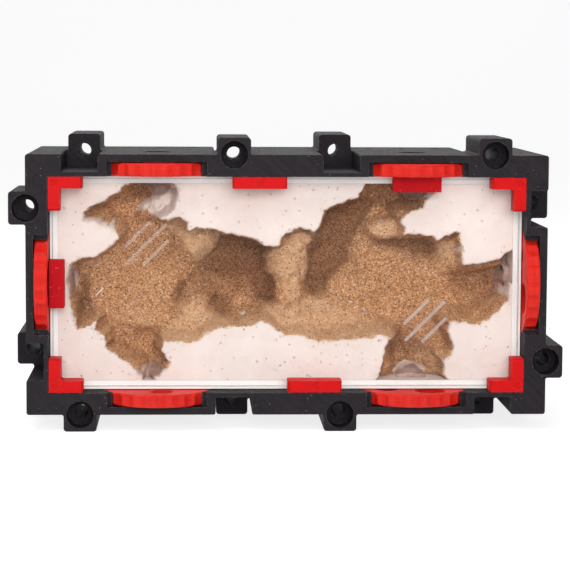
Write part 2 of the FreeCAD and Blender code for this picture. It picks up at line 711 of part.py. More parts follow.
# ---------------------------------------------------------------- clear pane with slits
PX = "(%s - pane_gap)" % LX
PZ = "(%s - pane_gap)" % LZ
pane = new_body("pane")
s = sketch_on(pane, "XZ_Plane", "pane_outline", lift="half_depth - tray_front")
outline(s, [("-" + PX, "-" + PZ), (PX, "-" + PZ), (PX, PZ), ("-" + PX, PZ)])
plate = pad(pane, s, "pane_plate", "pane_thick", backwards=True)
before = volume(plate)
s = sketch_on(pane, "XZ_Plane", "pane_slit_lines", lift="half_depth - tray_front")
root = 0.70710678
for sign in (-1, 1):
    for k in (-1, 0, 1):
        long = "slit_long" if k == 0 else "slit_short"
        # each slit runs up to the right at 45 degrees
        cx = "%d * slit_across + %d * slit_pitch * %s" % (sign, -k, root)
        cz = "%d * slit_up + %d * slit_pitch * %s" % (-sign, k, root)
        corners = []
        for a, c in ((-1, -1), (1, -1), (1, 1), (-1, 1)):
            corners.append((
                "%s + %d * %s / 2 * %s - %d * slit_width / 2 * %s" % (cx, a, long, root, c, root),
                "%s + %d * %s / 2 * %s + %d * slit_width / 2 * %s" % (cz, a, long, root, c, root),
            ))
        outline(s, corners)
slits = pocket(pane, s, "pane_slits", "2 * pane_thick + 2", both=True)
doc.recompute()
if abs(before - volume(slits)) < 10:
    slits.SideType = "One side"
    slits.Reversed = True
check_less(slits, before, "pane slits")
pane.Tip = slits
bind(pane, "Placement.Base.z", MID)


# ---------------------------------------------------------------- red clips
def edges_of(shape, wanted):
    names = []
    for number, edge in enumerate(shape.Edges, start=1):
        if len(edge.Vertexes) != 2:
            continue
        a, b = edge.Vertexes[0].Point, edge.Vertexes[1].Point
        d = b - a
        d.normalize()
        if wanted((a + b) * 0.5, d, (b - a).Length):
            names.append("Edge%d" % number)
    return names


def bevel(body, feature, name, wanted, word):
    doc.recompute()
    names = edges_of(feature.Shape, wanted)
    if not names:
        raise RuntimeError("no edge for " + name)
    c = body.newObject("PartDesign::Chamfer", name)
    c.Base = (feature, names)
    bind(c, "Size", word)
    return c


def corner_clip(label, turn, x, z):
    """L clip. Local: outer corner at the origin, arms along +x and -z, front face at y = 0."""
    b = new_body(label)
    s = sketch_on(b, "XZ_Plane", label + "_outline")
    a, w, q = "clip_arm", "clip_width", "clip_square"
    outline(s, [("0", "0"), ("0", "-" + a), (w, "-" + a), (w, "-" + q), (q, "-" + q), (q, "-" + w), (a, "-" + w), (a, "0")])
    p = pad(b, s, label + "_body", "clip_back - clip_front", backwards=True)
    before = volume(p)
    s = sketch_on(b, "XZ_Plane", label + "_dimple_line")
    ring(s, "dimple_inset", "-dimple_inset", "dimple_width")
    d = pocket(b, s, label + "_dimple", "dimple_depth")
    check_less(d, before, label + " dimple")
    arm = size("clip_arm")
    c = bevel(b, d, label + "_ends", lambda m, e, n: abs(m.y) < 0.01 and (abs(m.x - arm) < 0.01 or abs(m.z + arm) < 0.01), "clip_bevel")
    b.Tip = c
    b.Placement = FreeCAD.Placement(V(), FreeCAD.Rotation(V(0, 1, 0), turn))
    bind(b, "Placement.Base.x", x)
    bind(b, "Placement.Base.y", Y("clip_front"))
    bind(b, "Placement.Base.z", z)
    return b


def edge_clip(label, sign, x, z):
    """Straight clip. Local: middle of the outer edge at the origin, sign says which way the wall is."""
    b = new_body(label)
    s = sketch_on(b, "XZ_Plane", label + "_outline")
    inner = "%d * clip_width" % -sign
    outline(s, [("-clip_long / 2", "0"), ("clip_long / 2", "0"), ("clip_long / 2", inner), ("-clip_long / 2", inner)])
    p = pad(b, s, label + "_body", "clip_back - clip_front", backwards=True)
    before = volume(p)
    s = sketch_on(b, "XZ_Plane", label + "_dimple_line")
    ring(s, "0", "%d * dimple_inset" % -sign, "dimple_width")
    d = pocket(b, s, label + "_dimple", "dimple_depth")
    check_less(d, before, label + " dimple")
    half = size("clip_long") / 2
    c = bevel(b, d, label + "_ends", lambda m, e, n: abs(m.y) < 0.01 and abs(abs(m.x) - half) < 0.01, "clip_bevel")
    b.Tip = c
    bind(b, "Placement.Base.x", x)
    bind(b, "Placement.Base.y", Y("clip_front"))
    bind(b, "Placement.Base.z", z)
    return b


CX = "(%s - clip_gap)" % OPEN_X
CZ = "(%s - clip_gap)" % OPEN_Z
clips = [
    corner_clip("clip_corner_top_left", 0, "-" + CX, MID + " + " + CZ),
    corner_clip("clip_corner_top_right", 90, CX, MID + " + " + CZ),
    corner_clip("clip_corner_bottom_right", 180, CX, MID + " - " + CZ),
    corner_clip("clip_corner_bottom_left", -90, "-" + CX, MID + " - " + CZ),
    edge_clip("clip_edge_top", 1, "-clip_shift", MID + " + " + CZ),
    edge_clip("clip_edge_bottom", -1, "clip_shift", MID + " - " + CZ),
]

# ---------------------------------------------------------------- darker red blocks beside two wheels
BX = "(%s - block_gap)" % OPEN_X
BZ = "(%s - block_gap)" % OPEN_Z
b = box("block_left_blank", "-" + BX, "-" + BX + " + block_deep", Y("block_front"), Y("clip_back"), MID + " - block_long / 2", MID + " + block_long / 2")
inner_x = -(size("body_width") / 2 - size("rim_width") - size("block_gap")) + size("block_deep")
block_left = round_edges("block_left", b, size("block_round"), lambda p, d: abs(d.y) > 0.99 and abs(p.x - inner_x) < 0.01)
b = box("block_top_blank", "port_spacing - block_long / 2", "port_spacing + block_long / 2", Y("block_front"), Y("clip_back"), MID + " + " + BZ + " - block_deep", MID + " + " + BZ)
inner_z = size("lug_reach") + size("body_height") - size("rim_width") - size("block_gap") - size("block_deep")
block_top = round_edges("block_top", b, size("block_round"), lambda p, d: abs(d.y) > 0.99 and abs(p.z - inner_z) < 0.01)

# ---------------------------------------------------------------- water tank, lid and wicks
KX = "(%s - tank_gap)" % OPEN_X
KZ = "(%s - tank_gap)" % OPEN_Z
b = box("tank_slab", "-" + KX, KX, Y("tank_front"), Y("tank_back"), MID + " - " + KZ, MID + " + " + KZ)
b = round_edges("tank_rounded", b, size("tray_round"), lambda p, d: abs(d.y) > 0.99)
neck = cylinder("tank_neck", "Y", "0", Y("tank_back - 1"), MID + " + neck_up", "neck_width / 2", "neck_back - tank_back + 1")
hollow = box("tank_hollow", "-" + KX + " + tank_wall", KX + " - tank_wall", Y("tank_front - 1"), Y("tank_back - tank_wall"),
             MID + " - " + KZ + " + tank_wall", MID + " + " + KZ + " - tank_wall")
bore = cylinder("tank_bore", "Y", "0", Y("tank_back - 4"), MID + " + neck_up", "neck_bore / 2", "neck_back - tank_back + 6")
water_tank = cut("water_tank", fuse("tank_solid", [b, neck]), fuse("tank_away", [hollow, bore]))

b = box("lid_slab", "-" + KX, KX, Y("lid_front"), Y("tank_front"), MID + " - " + KZ, MID + " + " + KZ)
b = round_edges("lid_rounded", b, size("tray_round"), lambda p, d: abs(d.y) > 0.99)
tongue = box("lid_tongue", "-" + KX + " + tank_wall", KX + " - tank_wall", Y("tank_front - 0.5"), Y("tank_front + 2"),
             MID + " - " + KZ + " + tank_wall", MID + " + " + KZ + " - tank_wall")
away = [cylinder("lid_wick_%d" % number, "Y", "%s * wick_pitch" % k, Y("lid_front - 1"), MID + " - wick_down", "wick_width / 2", "8")
        for number, k in enumerate(WICKS, start=1)]
tank_lid = cut("tank_lid", fuse("lid_solid", [b, tongue]), fuse("lid_away", away))
wicks = compound("wicks", [
    cylinder("wick_%d" % number, "Y", "%s * wick_pitch" % k, Y("wick_front"), MID + " - wick_down", "wick_width / 2", "wick_back - wick_front")
    for number, k in enumerate(WICKS, start=1)
])

# ---------------------------------------------------------------- fill stopper
fill_stopper = new_body("fill_stopper")
s = sketch_on(fill_stopper, "YZ_Plane", "stopper_profile")
outline(s, [
    ("knob_front - 9", "0"), ("knob_front - 9", "plug_width / 2 - 0.8"), ("knob_front - 8.2", "plug_width / 2"), ("knob_front", "plug_width / 2"),
    ("knob_front", "knob_width / 2 - 0.5"), ("knob_front + 0.5", "knob_width / 2"), ("knob_back - 1", "knob_width / 2"),
    ("knob_back", "knob_width / 2 - 1"), ("knob_back", "0"),
])
turned = fill_stopper.newObject("PartDesign::Revolution", "stopper_turned")
turned.Profile = s
turned.ReferenceAxis = (axis_of(fill_stopper, "Y_Axis"), [""])
turned.Angle = 360
before = volume(turned)
s = sketch_on(fill_stopper, "XZ_Plane", "stopper_flute_line", lift="-knob_back - 1")
ring(s, "knob_width / 2 + 1.6", "0", "5")
flute = pocket(fill_stopper, s, "stopper_flute", "knob_back - knob_front - 0.8", backwards=False)
if not volume(flute) < before - 1e-6:
    flute.Reversed = True
check_less(flute, before, "stopper flute")
before = volume(flute)
flutes = fill_stopper.newObject("PartDesign::PolarPattern", "stopper_flutes")
flutes.Originals = [flute]
flutes.Axis = (axis_of(fill_stopper, "Y_Axis"), [""])
flutes.Angle = 360
flutes.Occurrences = 10
fill_stopper.Tip = flutes
check_less(flutes, before, "stopper flutes")
bind(fill_stopper, "Placement.Base.y", "-half_depth")
bind(fill_stopper, "Placement.Base.z", MID + " + neck_up")

# ---------------------------------------------------------------- back cover and its screws
VX = "(%s - cover_gap)" % OPEN_X
VZ = "(%s - cover_gap)" % OPEN_Z
b = box("cover_slab", "-" + VX, VX, Y("cover_front"), BACK, MID + " - " + VZ, MID + " + " + VZ)
b = round_edges("cover_rounded", b, size("tray_round"), lambda p, d: abs(d.y) > 0.99)
away = [cylinder("cover_opening", "Y", "0", Y("cover_front - 1"), MID + " + neck_up", "cover_hole / 2", "6")]
parts = []
for number, (sx, sz) in enumerate(COVER_SCREWS, start=1):
    x, z = cover_axis(sx, sz)
    away.append(cylinder("cover_clear_%d" % number, "Y", x, Y("cover_front - 1"), z, "cover_shank / 2", "6"))
    away.append(cylinder("cover_sink_%d" % number, "Y", x, BACK + " - cover_head_thick", z, "cover_head / 2", "3"))
    head = cylinder("cover_screw_head_%d" % number, "Y", x, BACK + " - cover_head_thick", z, "cover_head / 2", "cover_head_thick")
    shank = cylinder("cover_screw_shank_%d" % number, "Y", x, Y("ledge_front + 1"), z, "cover_shank / 2", "2 * half_depth - ledge_front - 1.5")
    slot_a = box("cover_screw_slot_%d_a" % number, x + " - 1.5", x + " + 1.5", BACK + " - 0.9", BACK + " + 1", z + " - 0.35", z + " + 0.35")
    slot_b = box("cover_screw_slot_%d_b" % number, x + " - 0.35", x + " + 0.35", BACK + " - 0.9", BACK + " + 1", z + " - 1.5", z + " + 1.5")
    parts.append(cut("cover_screw_%d" % number, fuse("cover_screw_blank_%d" % number, [head, shank]), fuse("cover_screw_cross_%d" % number, [slot_a, slot_b])))
rear_cover = cut("rear_cover", b, fuse("cover_away", away))
cover_screws = compound("cover_screws", parts)

# ---------------------------------------------------------------- write the parts
doc.recompute()
OUT = [front_frame, rear_frame, frame_screws, gate_axles] + gates + [nest_tray, plaster_nest, sand_floor, pane] + clips + [
    block_left, block_top, water_tank, tank_lid, wicks, fill_stopper, rear_cover, cover_screws]
for obj in doc.Objects:
    for word in ("Invalid", "Error"):
        if word in obj.State:
            raise RuntimeError("%s is %s" % (obj.Label, word))
os.makedirs("parts", exist_ok=True)
for obj in OUT:
    shape = obj.Shape
    if shape.isNull() or not shape.isValid() or shape.Volume <= 0:
        raise RuntimeError("bad shape for " + obj.Label)
for obj in OUT:
    obj.Shape.exportStep("parts/%s.step" % obj.Label)
    box_ = obj.Shape.BoundBox
    print("%-26s solids %2d  volume %9.1f  x %7.2f..%7.2f  y %7.2f..%7.2f  z %7.2f..%7.2f" % (
        obj.Label, len(obj.Shape.Solids), obj.Shape.Volume, box_.XMin, box_.XMax, box_.YMin, box_.YMax, box_.ZMin, box_.ZMax))
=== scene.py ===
"""Looks of the ant habitat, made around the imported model. Metres, +Z up, the front looks along -Y."""

import math

import bmesh
import bpy
import numpy as np
from mathutils import Matrix, Vector


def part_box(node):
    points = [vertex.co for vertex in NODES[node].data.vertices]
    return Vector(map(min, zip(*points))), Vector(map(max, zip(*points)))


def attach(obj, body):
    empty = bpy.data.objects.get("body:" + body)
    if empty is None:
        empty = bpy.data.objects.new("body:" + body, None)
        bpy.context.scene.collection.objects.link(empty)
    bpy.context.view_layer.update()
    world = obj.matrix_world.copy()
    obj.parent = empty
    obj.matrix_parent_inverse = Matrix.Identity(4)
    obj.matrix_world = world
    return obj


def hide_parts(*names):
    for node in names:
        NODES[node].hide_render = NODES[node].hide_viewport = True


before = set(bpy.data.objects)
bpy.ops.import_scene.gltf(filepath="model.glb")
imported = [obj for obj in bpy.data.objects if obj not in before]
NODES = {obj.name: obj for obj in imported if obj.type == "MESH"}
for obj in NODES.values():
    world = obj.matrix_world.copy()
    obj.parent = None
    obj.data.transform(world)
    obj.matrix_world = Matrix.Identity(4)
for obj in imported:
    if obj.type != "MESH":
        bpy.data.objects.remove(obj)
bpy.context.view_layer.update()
MM = 0.001


# ---------------------------------------------------------------- camera, stage and light


def add_camera():
    yaw, pitch, roll = math.radians(2.489), math.radians(5.675), math.radians(-0.279)
    ahead = Vector((math.sin(yaw) * math.cos(pitch), math.cos(yaw) * math.cos(pitch), -math.sin(pitch)))
    side = Vector((math.cos(yaw), -math.sin(yaw), 0))
    down = ahead.cross(side)
    right = side * math.cos(roll) + down * math.sin(roll)
    below = -side * math.sin(roll) + down * math.cos(roll)
    data = bpy.data.cameras.new("camera")
    data.lens, data.sensor_width = 138.8, 36.0
    data.clip_start, data.clip_end = 0.05, 20
    camera = bpy.data.objects.new("camera", data)
    bpy.context.scene.collection.objects.link(camera)
    turn = Matrix((right, -below, -ahead)).transposed().to_4x4()
    camera.matrix_world = Matrix.Translation((-0.0374, -0.87921, 0.13996)) @ turn
    bpy.context.scene.camera = camera


def add_light(name, place, target, size, power, colour=(1, 1, 1), size_y=None):
    data = bpy.data.lights.new(name, "AREA")
    data.shape = "RECTANGLE"
    data.size, data.size_y = size, size_y or size
    data.energy, data.color = power, colour
    lamp = bpy.data.objects.new(name, data)
    bpy.context.scene.collection.objects.link(lamp)
    lamp.location = place
    lamp.rotation_mode = "QUATERNION"
    lamp.rotation_quaternion = (Vector(target) - Vector(place)).to_track_quat("-Z", "Y")


def add_stage():
    """A pale sweep: floor, a wide curve behind and a wall, all one sheet."""
    profile = [(-3.0, 0.0), (1.1, 0.0)]
    for k in range(1, 13):
        a = math.pi / 2 * k / 12
        profile.append((1.1 + 1.2 * math.sin(a), 1.2 - 1.2 * math.cos(a)))
    profile.append((2.3, 3.4))
    bm = bmesh.new()
    rows = [[bm.verts.new((x, y, z)) for y, z in profile] for x in (-3.2, 3.2)]
    for a, b, c, d in zip(rows[0], rows[1], rows[1][1:], rows[0][1:]):
        bm.faces.new((a, b, c, d))
    mesh = bpy.data.meshes.new("sweep")
    bm.to_mesh(mesh)
    bm.free()
    for p in mesh.polygons:
        p.use_smooth = True
    sweep = bpy.data.objects.new("sweep", mesh)
    bpy.context.scene.collection.objects.link(sweep)
    m = Material("sweep_paper")
    tone = m.noise(3.0, detail=2.0)
    base = m.mix(tone, (0.36, 0.36, 0.36), (0.40, 0.40, 0.40))
    diffuse = m.node("ShaderNodeBsdfDiffuse")
    m.link(base, diffuse.inputs["Color"])
    glow = m.node("ShaderNodeEmission")
    glow.inputs["Color"].default_value = (1, 1, 1, 1)
    # the paper is lit by lamps of its own, and throws little of that light on the object
    ray = m.node("ShaderNodeLightPath")
    m.link(m.math("MULTIPLY_ADD", ray.outputs["Is Diffuse Ray"], -0.50, 0.80), glow.inputs["Strength"])
    both = m.node("ShaderNodeAddShader")
    m.link(diffuse.outputs[0], both.inputs[0])
    m.link(glow.outputs[0], both.inputs[1])
    m.surface(both.outputs[0])
    mesh.materials.append(m.material)


def add_world():
    world = bpy.data.worlds.new("studio")
    bpy.context.scene.world = world
    world.use_nodes = True
    back = world.node_tree.nodes["Background"]
    back.inputs["Color"].default_value = (0.97, 0.98, 1.0, 1)
    back.inputs["Strength"].default_value = 0.20


# ---------------------------------------------------------------- node materials


class Material:
    """A node tree, written one node a line. A value is a socket, a number or a colour."""

    def __init__(self, name):
        self.material = bpy.data.materials.new(name)
        self.material.use_nodes = True
        self.tree = self.material.node_tree
        self.tree.nodes.clear()
        self.out = self.tree.nodes.new("ShaderNodeOutputMaterial")
        self.kept = {}

    def node(self, kind, **settings):
        n = self.tree.nodes.new(kind)
        for key, value in settings.items():
            setattr(n, key, value)
        return n

    def link(self, value, socket):
        if isinstance(value, bpy.types.NodeSocket):
            self.tree.links.new(value, socket)
        elif isinstance(value, (tuple, list)) and socket.type == "RGBA":
            socket.default_value = (*value[:3], 1.0)
        elif isinstance(value, (tuple, list)):
            socket.default_value = tuple(value)
        else:
            socket.default_value = value

    def surface(self, shader):
        self.tree.links.new(shader, self.out.inputs["Surface"])

    def place(self):
        if "place" not in self.kept:
            self.kept["place"] = self.node("ShaderNodeTexCoord")
        return self.kept["place"].outputs["Object"]

    def facing(self):
        """The normal in the object's own axes, as three sockets."""
        if "facing" not in self.kept:
            self.place()
            split = self.node("ShaderNodeSeparateXYZ")
            self.link(self.kept["place"].outputs["Normal"], split.inputs[0])
            self.kept["facing"] = split.outputs
        return self.kept["facing"]

    def axes(self):
        if "axes" not in self.kept:
            split = self.node("ShaderNodeSeparateXYZ")
            self.link(self.place(), split.inputs[0])
            self.kept["axes"] = split.outputs
        return self.kept["axes"]

    def math(self, operation, a, b=0.0, c=None, clamp=False):
        n = self.node("ShaderNodeMath", operation=operation, use_clamp=clamp)
        self.link(a, n.inputs[0])
        self.link(b, n.inputs[1])
        if c is not None:
            self.link(c, n.inputs[2])
        return n.outputs[0]

    def ramp(self, value, low, high, to_low=0.0, to_high=1.0):
        n = self.node("ShaderNodeMapRange", interpolation_type="SMOOTHSTEP", clamp=True)
        for socket, v in zip(n.inputs, (value, low, high, to_low, to_high)):
            self.link(v, socket)
        return n.outputs[0]

    def line(self, value, low, high, to_low=0.0, to_high=1.0):
        n = self.node("ShaderNodeMapRange", interpolation_type="LINEAR", clamp=True)
        for socket, v in zip(n.inputs, (value, low, high, to_low, to_high)):
            self.link(v, socket)
        return n.outputs[0]

    def colours(self, value, stops):
        n = self.node("ShaderNodeValToRGB")
        band = n.color_ramp
        band.elements[0].position, band.elements[1].position = stops[0][0], stops[-1][0]
        for at, _ in stops[1:-1]:
            band.elements.new(at)
        for element, (_, colour) in zip(band.elements, stops):
            element.color = (*colour, 1.0)
        self.link(value, n.inputs[0])
        return n.outputs[0]

    def mix(self, share, a, b, how="MIX"):
        n = self.node("ShaderNodeMix", data_type="RGBA", blend_type=how)
        self.link(share, n.inputs[0])
        self.link(a, n.inputs[6])
        self.link(b, n.inputs[7])
        return n.outputs[2]

    def blend(self, share, a, b):
        n = self.node("ShaderNodeMix", data_type="FLOAT")
        self.link(share, n.inputs[0])
        self.link(a, n.inputs[2])
        self.link(b, n.inputs[3])
        return n.outputs[0]

    def stretched(self, scale, turn=(0, 0, 0), shift=(0, 0, 0)):
        n = self.node("ShaderNodeMapping")
        self.link(self.place(), n.inputs["Vector"])
        n.inputs["Scale"].default_value = scale
        n.inputs["Rotation"].default_value = turn
        n.inputs["Location"].default_value = shift
        return n.outputs[0]

    def noise(self, scale, detail=2.0, roughness=0.5, vector=None, distortion=0.0, colour=False):
        n = self.node("ShaderNodeTexNoise")
        self.link(vector if vector is not None else self.place(), n.inputs["Vector"])
        n.inputs["Scale"].default_value = scale
        n.inputs["Detail"].default_value = detail
        n.inputs["Roughness"].default_value = roughness
        n.inputs["Distortion"].default_value = distortion
        return n.outputs["Color" if colour else "Fac"]

    def cells(self, scale, vector=None, feature="F1", random=1.0):
        n = self.node("ShaderNodeTexVoronoi", feature=feature)
        self.link(vector if vector is not None else self.place(), n.inputs["Vector"])
        n.inputs["Scale"].default_value = scale
        n.inputs["Randomness"].default_value = random
        return n.outputs

    def chance(self, value):
        """A random number from 0 to 1 for each whole number."""
        n = self.node("ShaderNodeTexWhiteNoise", noise_dimensions="1D")
        self.link(value, n.inputs["W"])
        return n.outputs["Value"]

    def field(self, name):
        n = self.node("ShaderNodeAttribute", attribute_name=name)
        return n.outputs["Fac"]

    def red_of(self, colour):
        n = self.node("ShaderNodeSeparateColor")
        self.link(colour, n.inputs[0])
        return n.outputs[0]

    def bump(self, height, distance, strength=1.0, normal=None):
        n = self.node("ShaderNodeBump")
        n.inputs["Distance"].default_value = distance
        n.inputs["Strength"].default_value = strength
        self.link(height, n.inputs["Height"])
        if normal is not None:
            self.link(normal, n.inputs["Normal"])
        return n.outputs[0]

    def edges(self, radius):
        """1 along sharp edges and corners, 0 on the flats."""
        soft = self.node("ShaderNodeBevel", samples=6)
        soft.inputs["Radius"].default_value = radius
        true = self.node("ShaderNodeNewGeometry")
        dot = self.node("ShaderNodeVectorMath", operation="DOT_PRODUCT")
        self.link(soft.outputs[0], dot.inputs[0])
        self.link(true.outputs["Normal"], dot.inputs[1])
        return self.ramp(dot.outputs["Value"], 0.995, 0.86)

    def plastic(self, colour, roughness, normal=None, specular=0.5, ior=1.46, subsurface=0.0, metallic=0.0, sheen=0.0):
        p = self.node("ShaderNodeBsdfPrincipled")
        self.link(colour, p.inputs["Base Color"])
        self.link(roughness, p.inputs["Roughness"])
        p.inputs["IOR"].default_value = ior
        p.inputs["Specular IOR Level"].default_value = specular
        p.inputs["Metallic"].default_value = metallic
        if sheen:
            p.inputs["Sheen Weight"].default_value = sheen
            p.inputs["Sheen Roughness"].default_value = 0.6
        if subsurface:
            p.inputs["Subsurface Weight"].default_value = subsurface
            p.inputs["Subsurface Scale"].default_value = 0.001
            p.inputs["Subsurface Radius"].default_value = (1.0, 0.35, 0.25)
        if normal is not None:
            self.link(normal, p.inputs["Normal"])
        self.surface(p.outputs[0])
        return p


def printed(name, base, pale, stack, layer=0.2, road=0.45, streak=0.3, weave=0.3, rough=(0.45, 0.6), depth=0.00004,
            edge=None, edge_share=0.6, fleck=None, fleck_share=0.0, fleck_scale=1500.0, grain=0.0, specular=0.5, subsurface=0.0,
            along=0.0, speckle=0.0):
    """Printed plastic: layers one on another along the stack axis, slanted roads on the faces square to it.
    along adds streaks that run with the stack axis, speckle adds a fine mottling everywhere."""
    m = Material(name)
    axes, facing = m.axes(), m.facing()
    k = "XYZ".index(stack)
    others = [i for i in range(3) if i != k]
    # the layers, a little wavy, each with a tone of its own
    wave = m.math("MULTIPLY", m.noise(25.0, 2.0), 0.5)
    height = m.math("MULTIPLY_ADD", axes[k], 1000.0 / layer, wave)
    layer_tone = m.chance(m.math("FLOOR", height))
    ridge = m.math("ABSOLUTE", m.math("SINE", m.math("MULTIPLY", height, math.pi)))
    long = [70.0, 70.0, 70.0]
    long[k] = 1000.0 / (layer * 5.0)
    bands = m.noise(1.0, 3.0, 0.6, vector=m.stretched(tuple(long)))
    fine = [240.0, 240.0, 240.0]
    fine[k] = 1000.0 / (layer * 1.6)
    threads = m.noise(1.0, 2.0, 0.6, vector=m.stretched(tuple(fine)))
    side_tone = m.math("ADD", m.math("MULTIPLY", m.math("SUBTRACT", layer_tone, 0.5), 0.35),
                       m.math("ADD", m.math("SUBTRACT", bands, 0.5), m.math("MULTIPLY", m.math("SUBTRACT", threads, 0.5), 0.8)))
    # the roads of a flat face run at 45 degrees
    across = m.math("MULTIPLY", m.math("ADD", axes[others[0]], axes[others[1]]), 0.70711 * 1000.0 / road)
    across = m.math("ADD", across, m.math("MULTIPLY", m.noise(60.0, 1.0), 0.5))
    road_tone = m.chance(m.math("FLOOR", across))
    road_ridge = m.math("ABSOLUTE", m.math("SINE", m.math("MULTIPLY", across, math.pi)))
    blotch = m.noise(220.0, 3.0, 0.6)
    flat_tone = m.math("ADD", m.math("MULTIPLY", m.math("SUBTRACT", road_tone, 0.5), 0.5),
                       m.math("MULTIPLY", m.math("SUBTRACT", blotch, 0.5), 0.9))
    flat = m.ramp(m.math("ABSOLUTE", facing[k]), 0.75, 0.92)
    if along:
        up = [520.0, 520.0, 520.0]
        up[k] = 30.0
        wide = [1250.0, 1250.0, 1250.0]
        wide[k] = 60.0
        bars = m.math("ADD", m.math("MULTIPLY", m.math("SUBTRACT", m.noise(1.0, 1.0, 0.5, vector=m.stretched(tuple(up))), 0.5), 1.7),
                      m.math("MULTIPLY", m.math("SUBTRACT", m.noise(1.0, 1.0, 0.5, vector=m.stretched(tuple(wide))), 0.5), 0.9))
        side_tone = m.math("ADD", side_tone, m.math("MULTIPLY", bars, along))
    tone = m.blend(flat, m.math("MULTIPLY", side_tone, streak * 2), m.math("MULTIPLY", flat_tone, weave * 2))
    if speckle:
        tone = m.math("MULTIPLY_ADD", m.math("SUBTRACT", m.noise(1500.0, 2.0, 0.8), 0.5), speckle, tone)
    tone = m.math("ADD", tone, 0.5, clamp=True)
    colour = m.mix(tone, base, pale)
    relief = m.blend(flat, m.math("MULTIPLY_ADD", threads, 0.6, ridge), m.math("MULTIPLY_ADD", blotch, 0.8, road_ridge))
    if grain:
        relief = m.math("MULTIPLY_ADD", m.noise(2400.0, 2.0, 0.7), grain, relief)
    # lighter colour along the sharp edges: painted highlight where the edges catch the light, and wear
    if edge is not None:
        edge_wear_and_highlight = m.math("MULTIPLY", m.edges(0.0006), m.ramp(m.noise(900.0, 3.0, 0.7), 0.42, 0.68))
        colour = m.mix(m.math("MULTIPLY", edge_wear_and_highlight, edge_share), colour, edge)
    if fleck is not None:
        spots = m.cells(fleck_scale)
        small = m.ramp(spots["Distance"], 0.38, 0.16)
        rare = m.math("GREATER_THAN", m.red_of(spots["Color"]), 1.0 - fleck_share)
        colour = m.mix(m.math("MULTIPLY", small, rare), colour, fleck)
    roughness = m.blend(tone, rough[0], rough[1])
    p = m.plastic(colour, roughness, m.bump(relief, depth), specular=specular, subsurface=subsurface)
    return m.material, p


def plaster_material(name):
    m = Material(name)
    dust, stain_and_shadow, bare = m.field("dust"), m.field("stain_and_shadow"), m.field("smooth")
    soft = m.noise(45.0, 4.0, 0.55)
    cloud = m.noise(160.0, 4.0, 0.6)
    fine = m.noise(900.0, 3.0, 0.65)
    base = m.mix(m.ramp(soft, 0.35, 0.65), (0.845, 0.745, 0.705), (0.89, 0.805, 0.765))
    base = m.mix(m.math("MULTIPLY", m.ramp(cloud, 0.45, 0.75), 0.40), base, (0.79, 0.665, 0.605))
    smear = m.noise(1.0, 3.0, 0.6, vector=m.stretched((38.0, 60.0, 210.0), (0, 0.12, 0)))
    base = m.mix(m.math("MULTIPLY", m.ramp(smear, 0.52, 0.78), 0.30), base, (0.90, 0.86, 0.84))
    # tan dust that the sand leaves in the carving, and grains of it that stick beside the mouth
    dusted = m.ramp(m.math("MULTIPLY_ADD", m.math("SUBTRACT", fine, 0.5), 1.6, dust), 0.35, 0.75)
    base = m.mix(m.math("MULTIPLY", dusted, 0.85), base, (0.62, 0.385, 0.20))
    # damp, smooth plaster in the mouths of the tunnels, painted darker with the shade that falls inside them
    damp_and_shade = m.mix(m.ramp(cloud, 0.35, 0.7), (0.33, 0.195, 0.155), (0.54, 0.365, 0.31))
    base = m.mix(m.math("MULTIPLY", bare, 0.92), base, damp_and_shade)
    # a brownish stain, partly a painted shadow below the top edge clip, and specks of grit
    stain_and_shadow_share = m.ramp(m.math("MULTIPLY_ADD", m.math("SUBTRACT", cloud, 0.5), 0.8, stain_and_shadow), 0.3, 1.0)
    base = m.mix(m.math("MULTIPLY", stain_and_shadow_share, 0.30), base, (0.60, 0.43, 0.33))
    flock = m.ramp(m.noise(34.0, 4.0, 0.65), 0.50, 0.72)
    crowd = m.math("MULTIPLY_ADD", m.math("ADD", flock, m.math("MULTIPLY", stain_and_shadow_share, 1.2)), -0.16, 0.975)
    shaken = m.node("ShaderNodeVectorMath", operation="MULTIPLY_ADD")
    m.link(m.noise(420.0, 2.0, colour=True), shaken.inputs[0])
    shaken.inputs[1].default_value = (0.0007, 0.0007, 0.0007)
    m.link(m.place(), shaken.inputs[2])
    grit = m.cells(900.0, vector=shaken.outputs[0])
    speck = m.math("MULTIPLY", m.ramp(grit["Distance"], 0.42, 0.16), m.math("GREATER_THAN", m.red_of(grit["Color"]), crowd))
    base = m.mix(m.math("MULTIPLY", speck, 0.66), base, (0.46, 0.26, 0.135))
    coarse = m.cells(190.0, vector=shaken.outputs[0])
    mark = m.math("MULTIPLY", m.ramp(coarse["Distance"], 0.085, 0.045), m.math("GREATER_THAN", m.red_of(coarse["Color"]), m.math("MULTIPLY_ADD", flock, -0.25, 0.90)))
    base = m.mix(m.math("MULTIPLY", mark, 0.75), base, (0.12, 0.065, 0.05))
    # pits, painted a little greyer: painted shade inside them
    pits = m.cells(560.0, vector=shaken.outputs[0])
    pit = m.math("MULTIPLY", m.ramp(pits["Distance"], 0.34, 0.08), m.math("GREATER_THAN", m.red_of(pits["Color"]), 0.90))
    base = m.mix(m.math("MULTIPLY", pit, 0.10), base, (0.56, 0.44, 0.40))
    relief = m.math("ADD", m.math("MULTIPLY_ADD", cloud, 1.6, m.math("MULTIPLY", fine, 0.5)), m.math("MULTIPLY", pit, -1.4))
    roughness = m.blend(bare, 0.9, 0.6)
    m.plastic(base, roughness, m.bump(relief, 0.00034), specular=0.22)
    return m.material


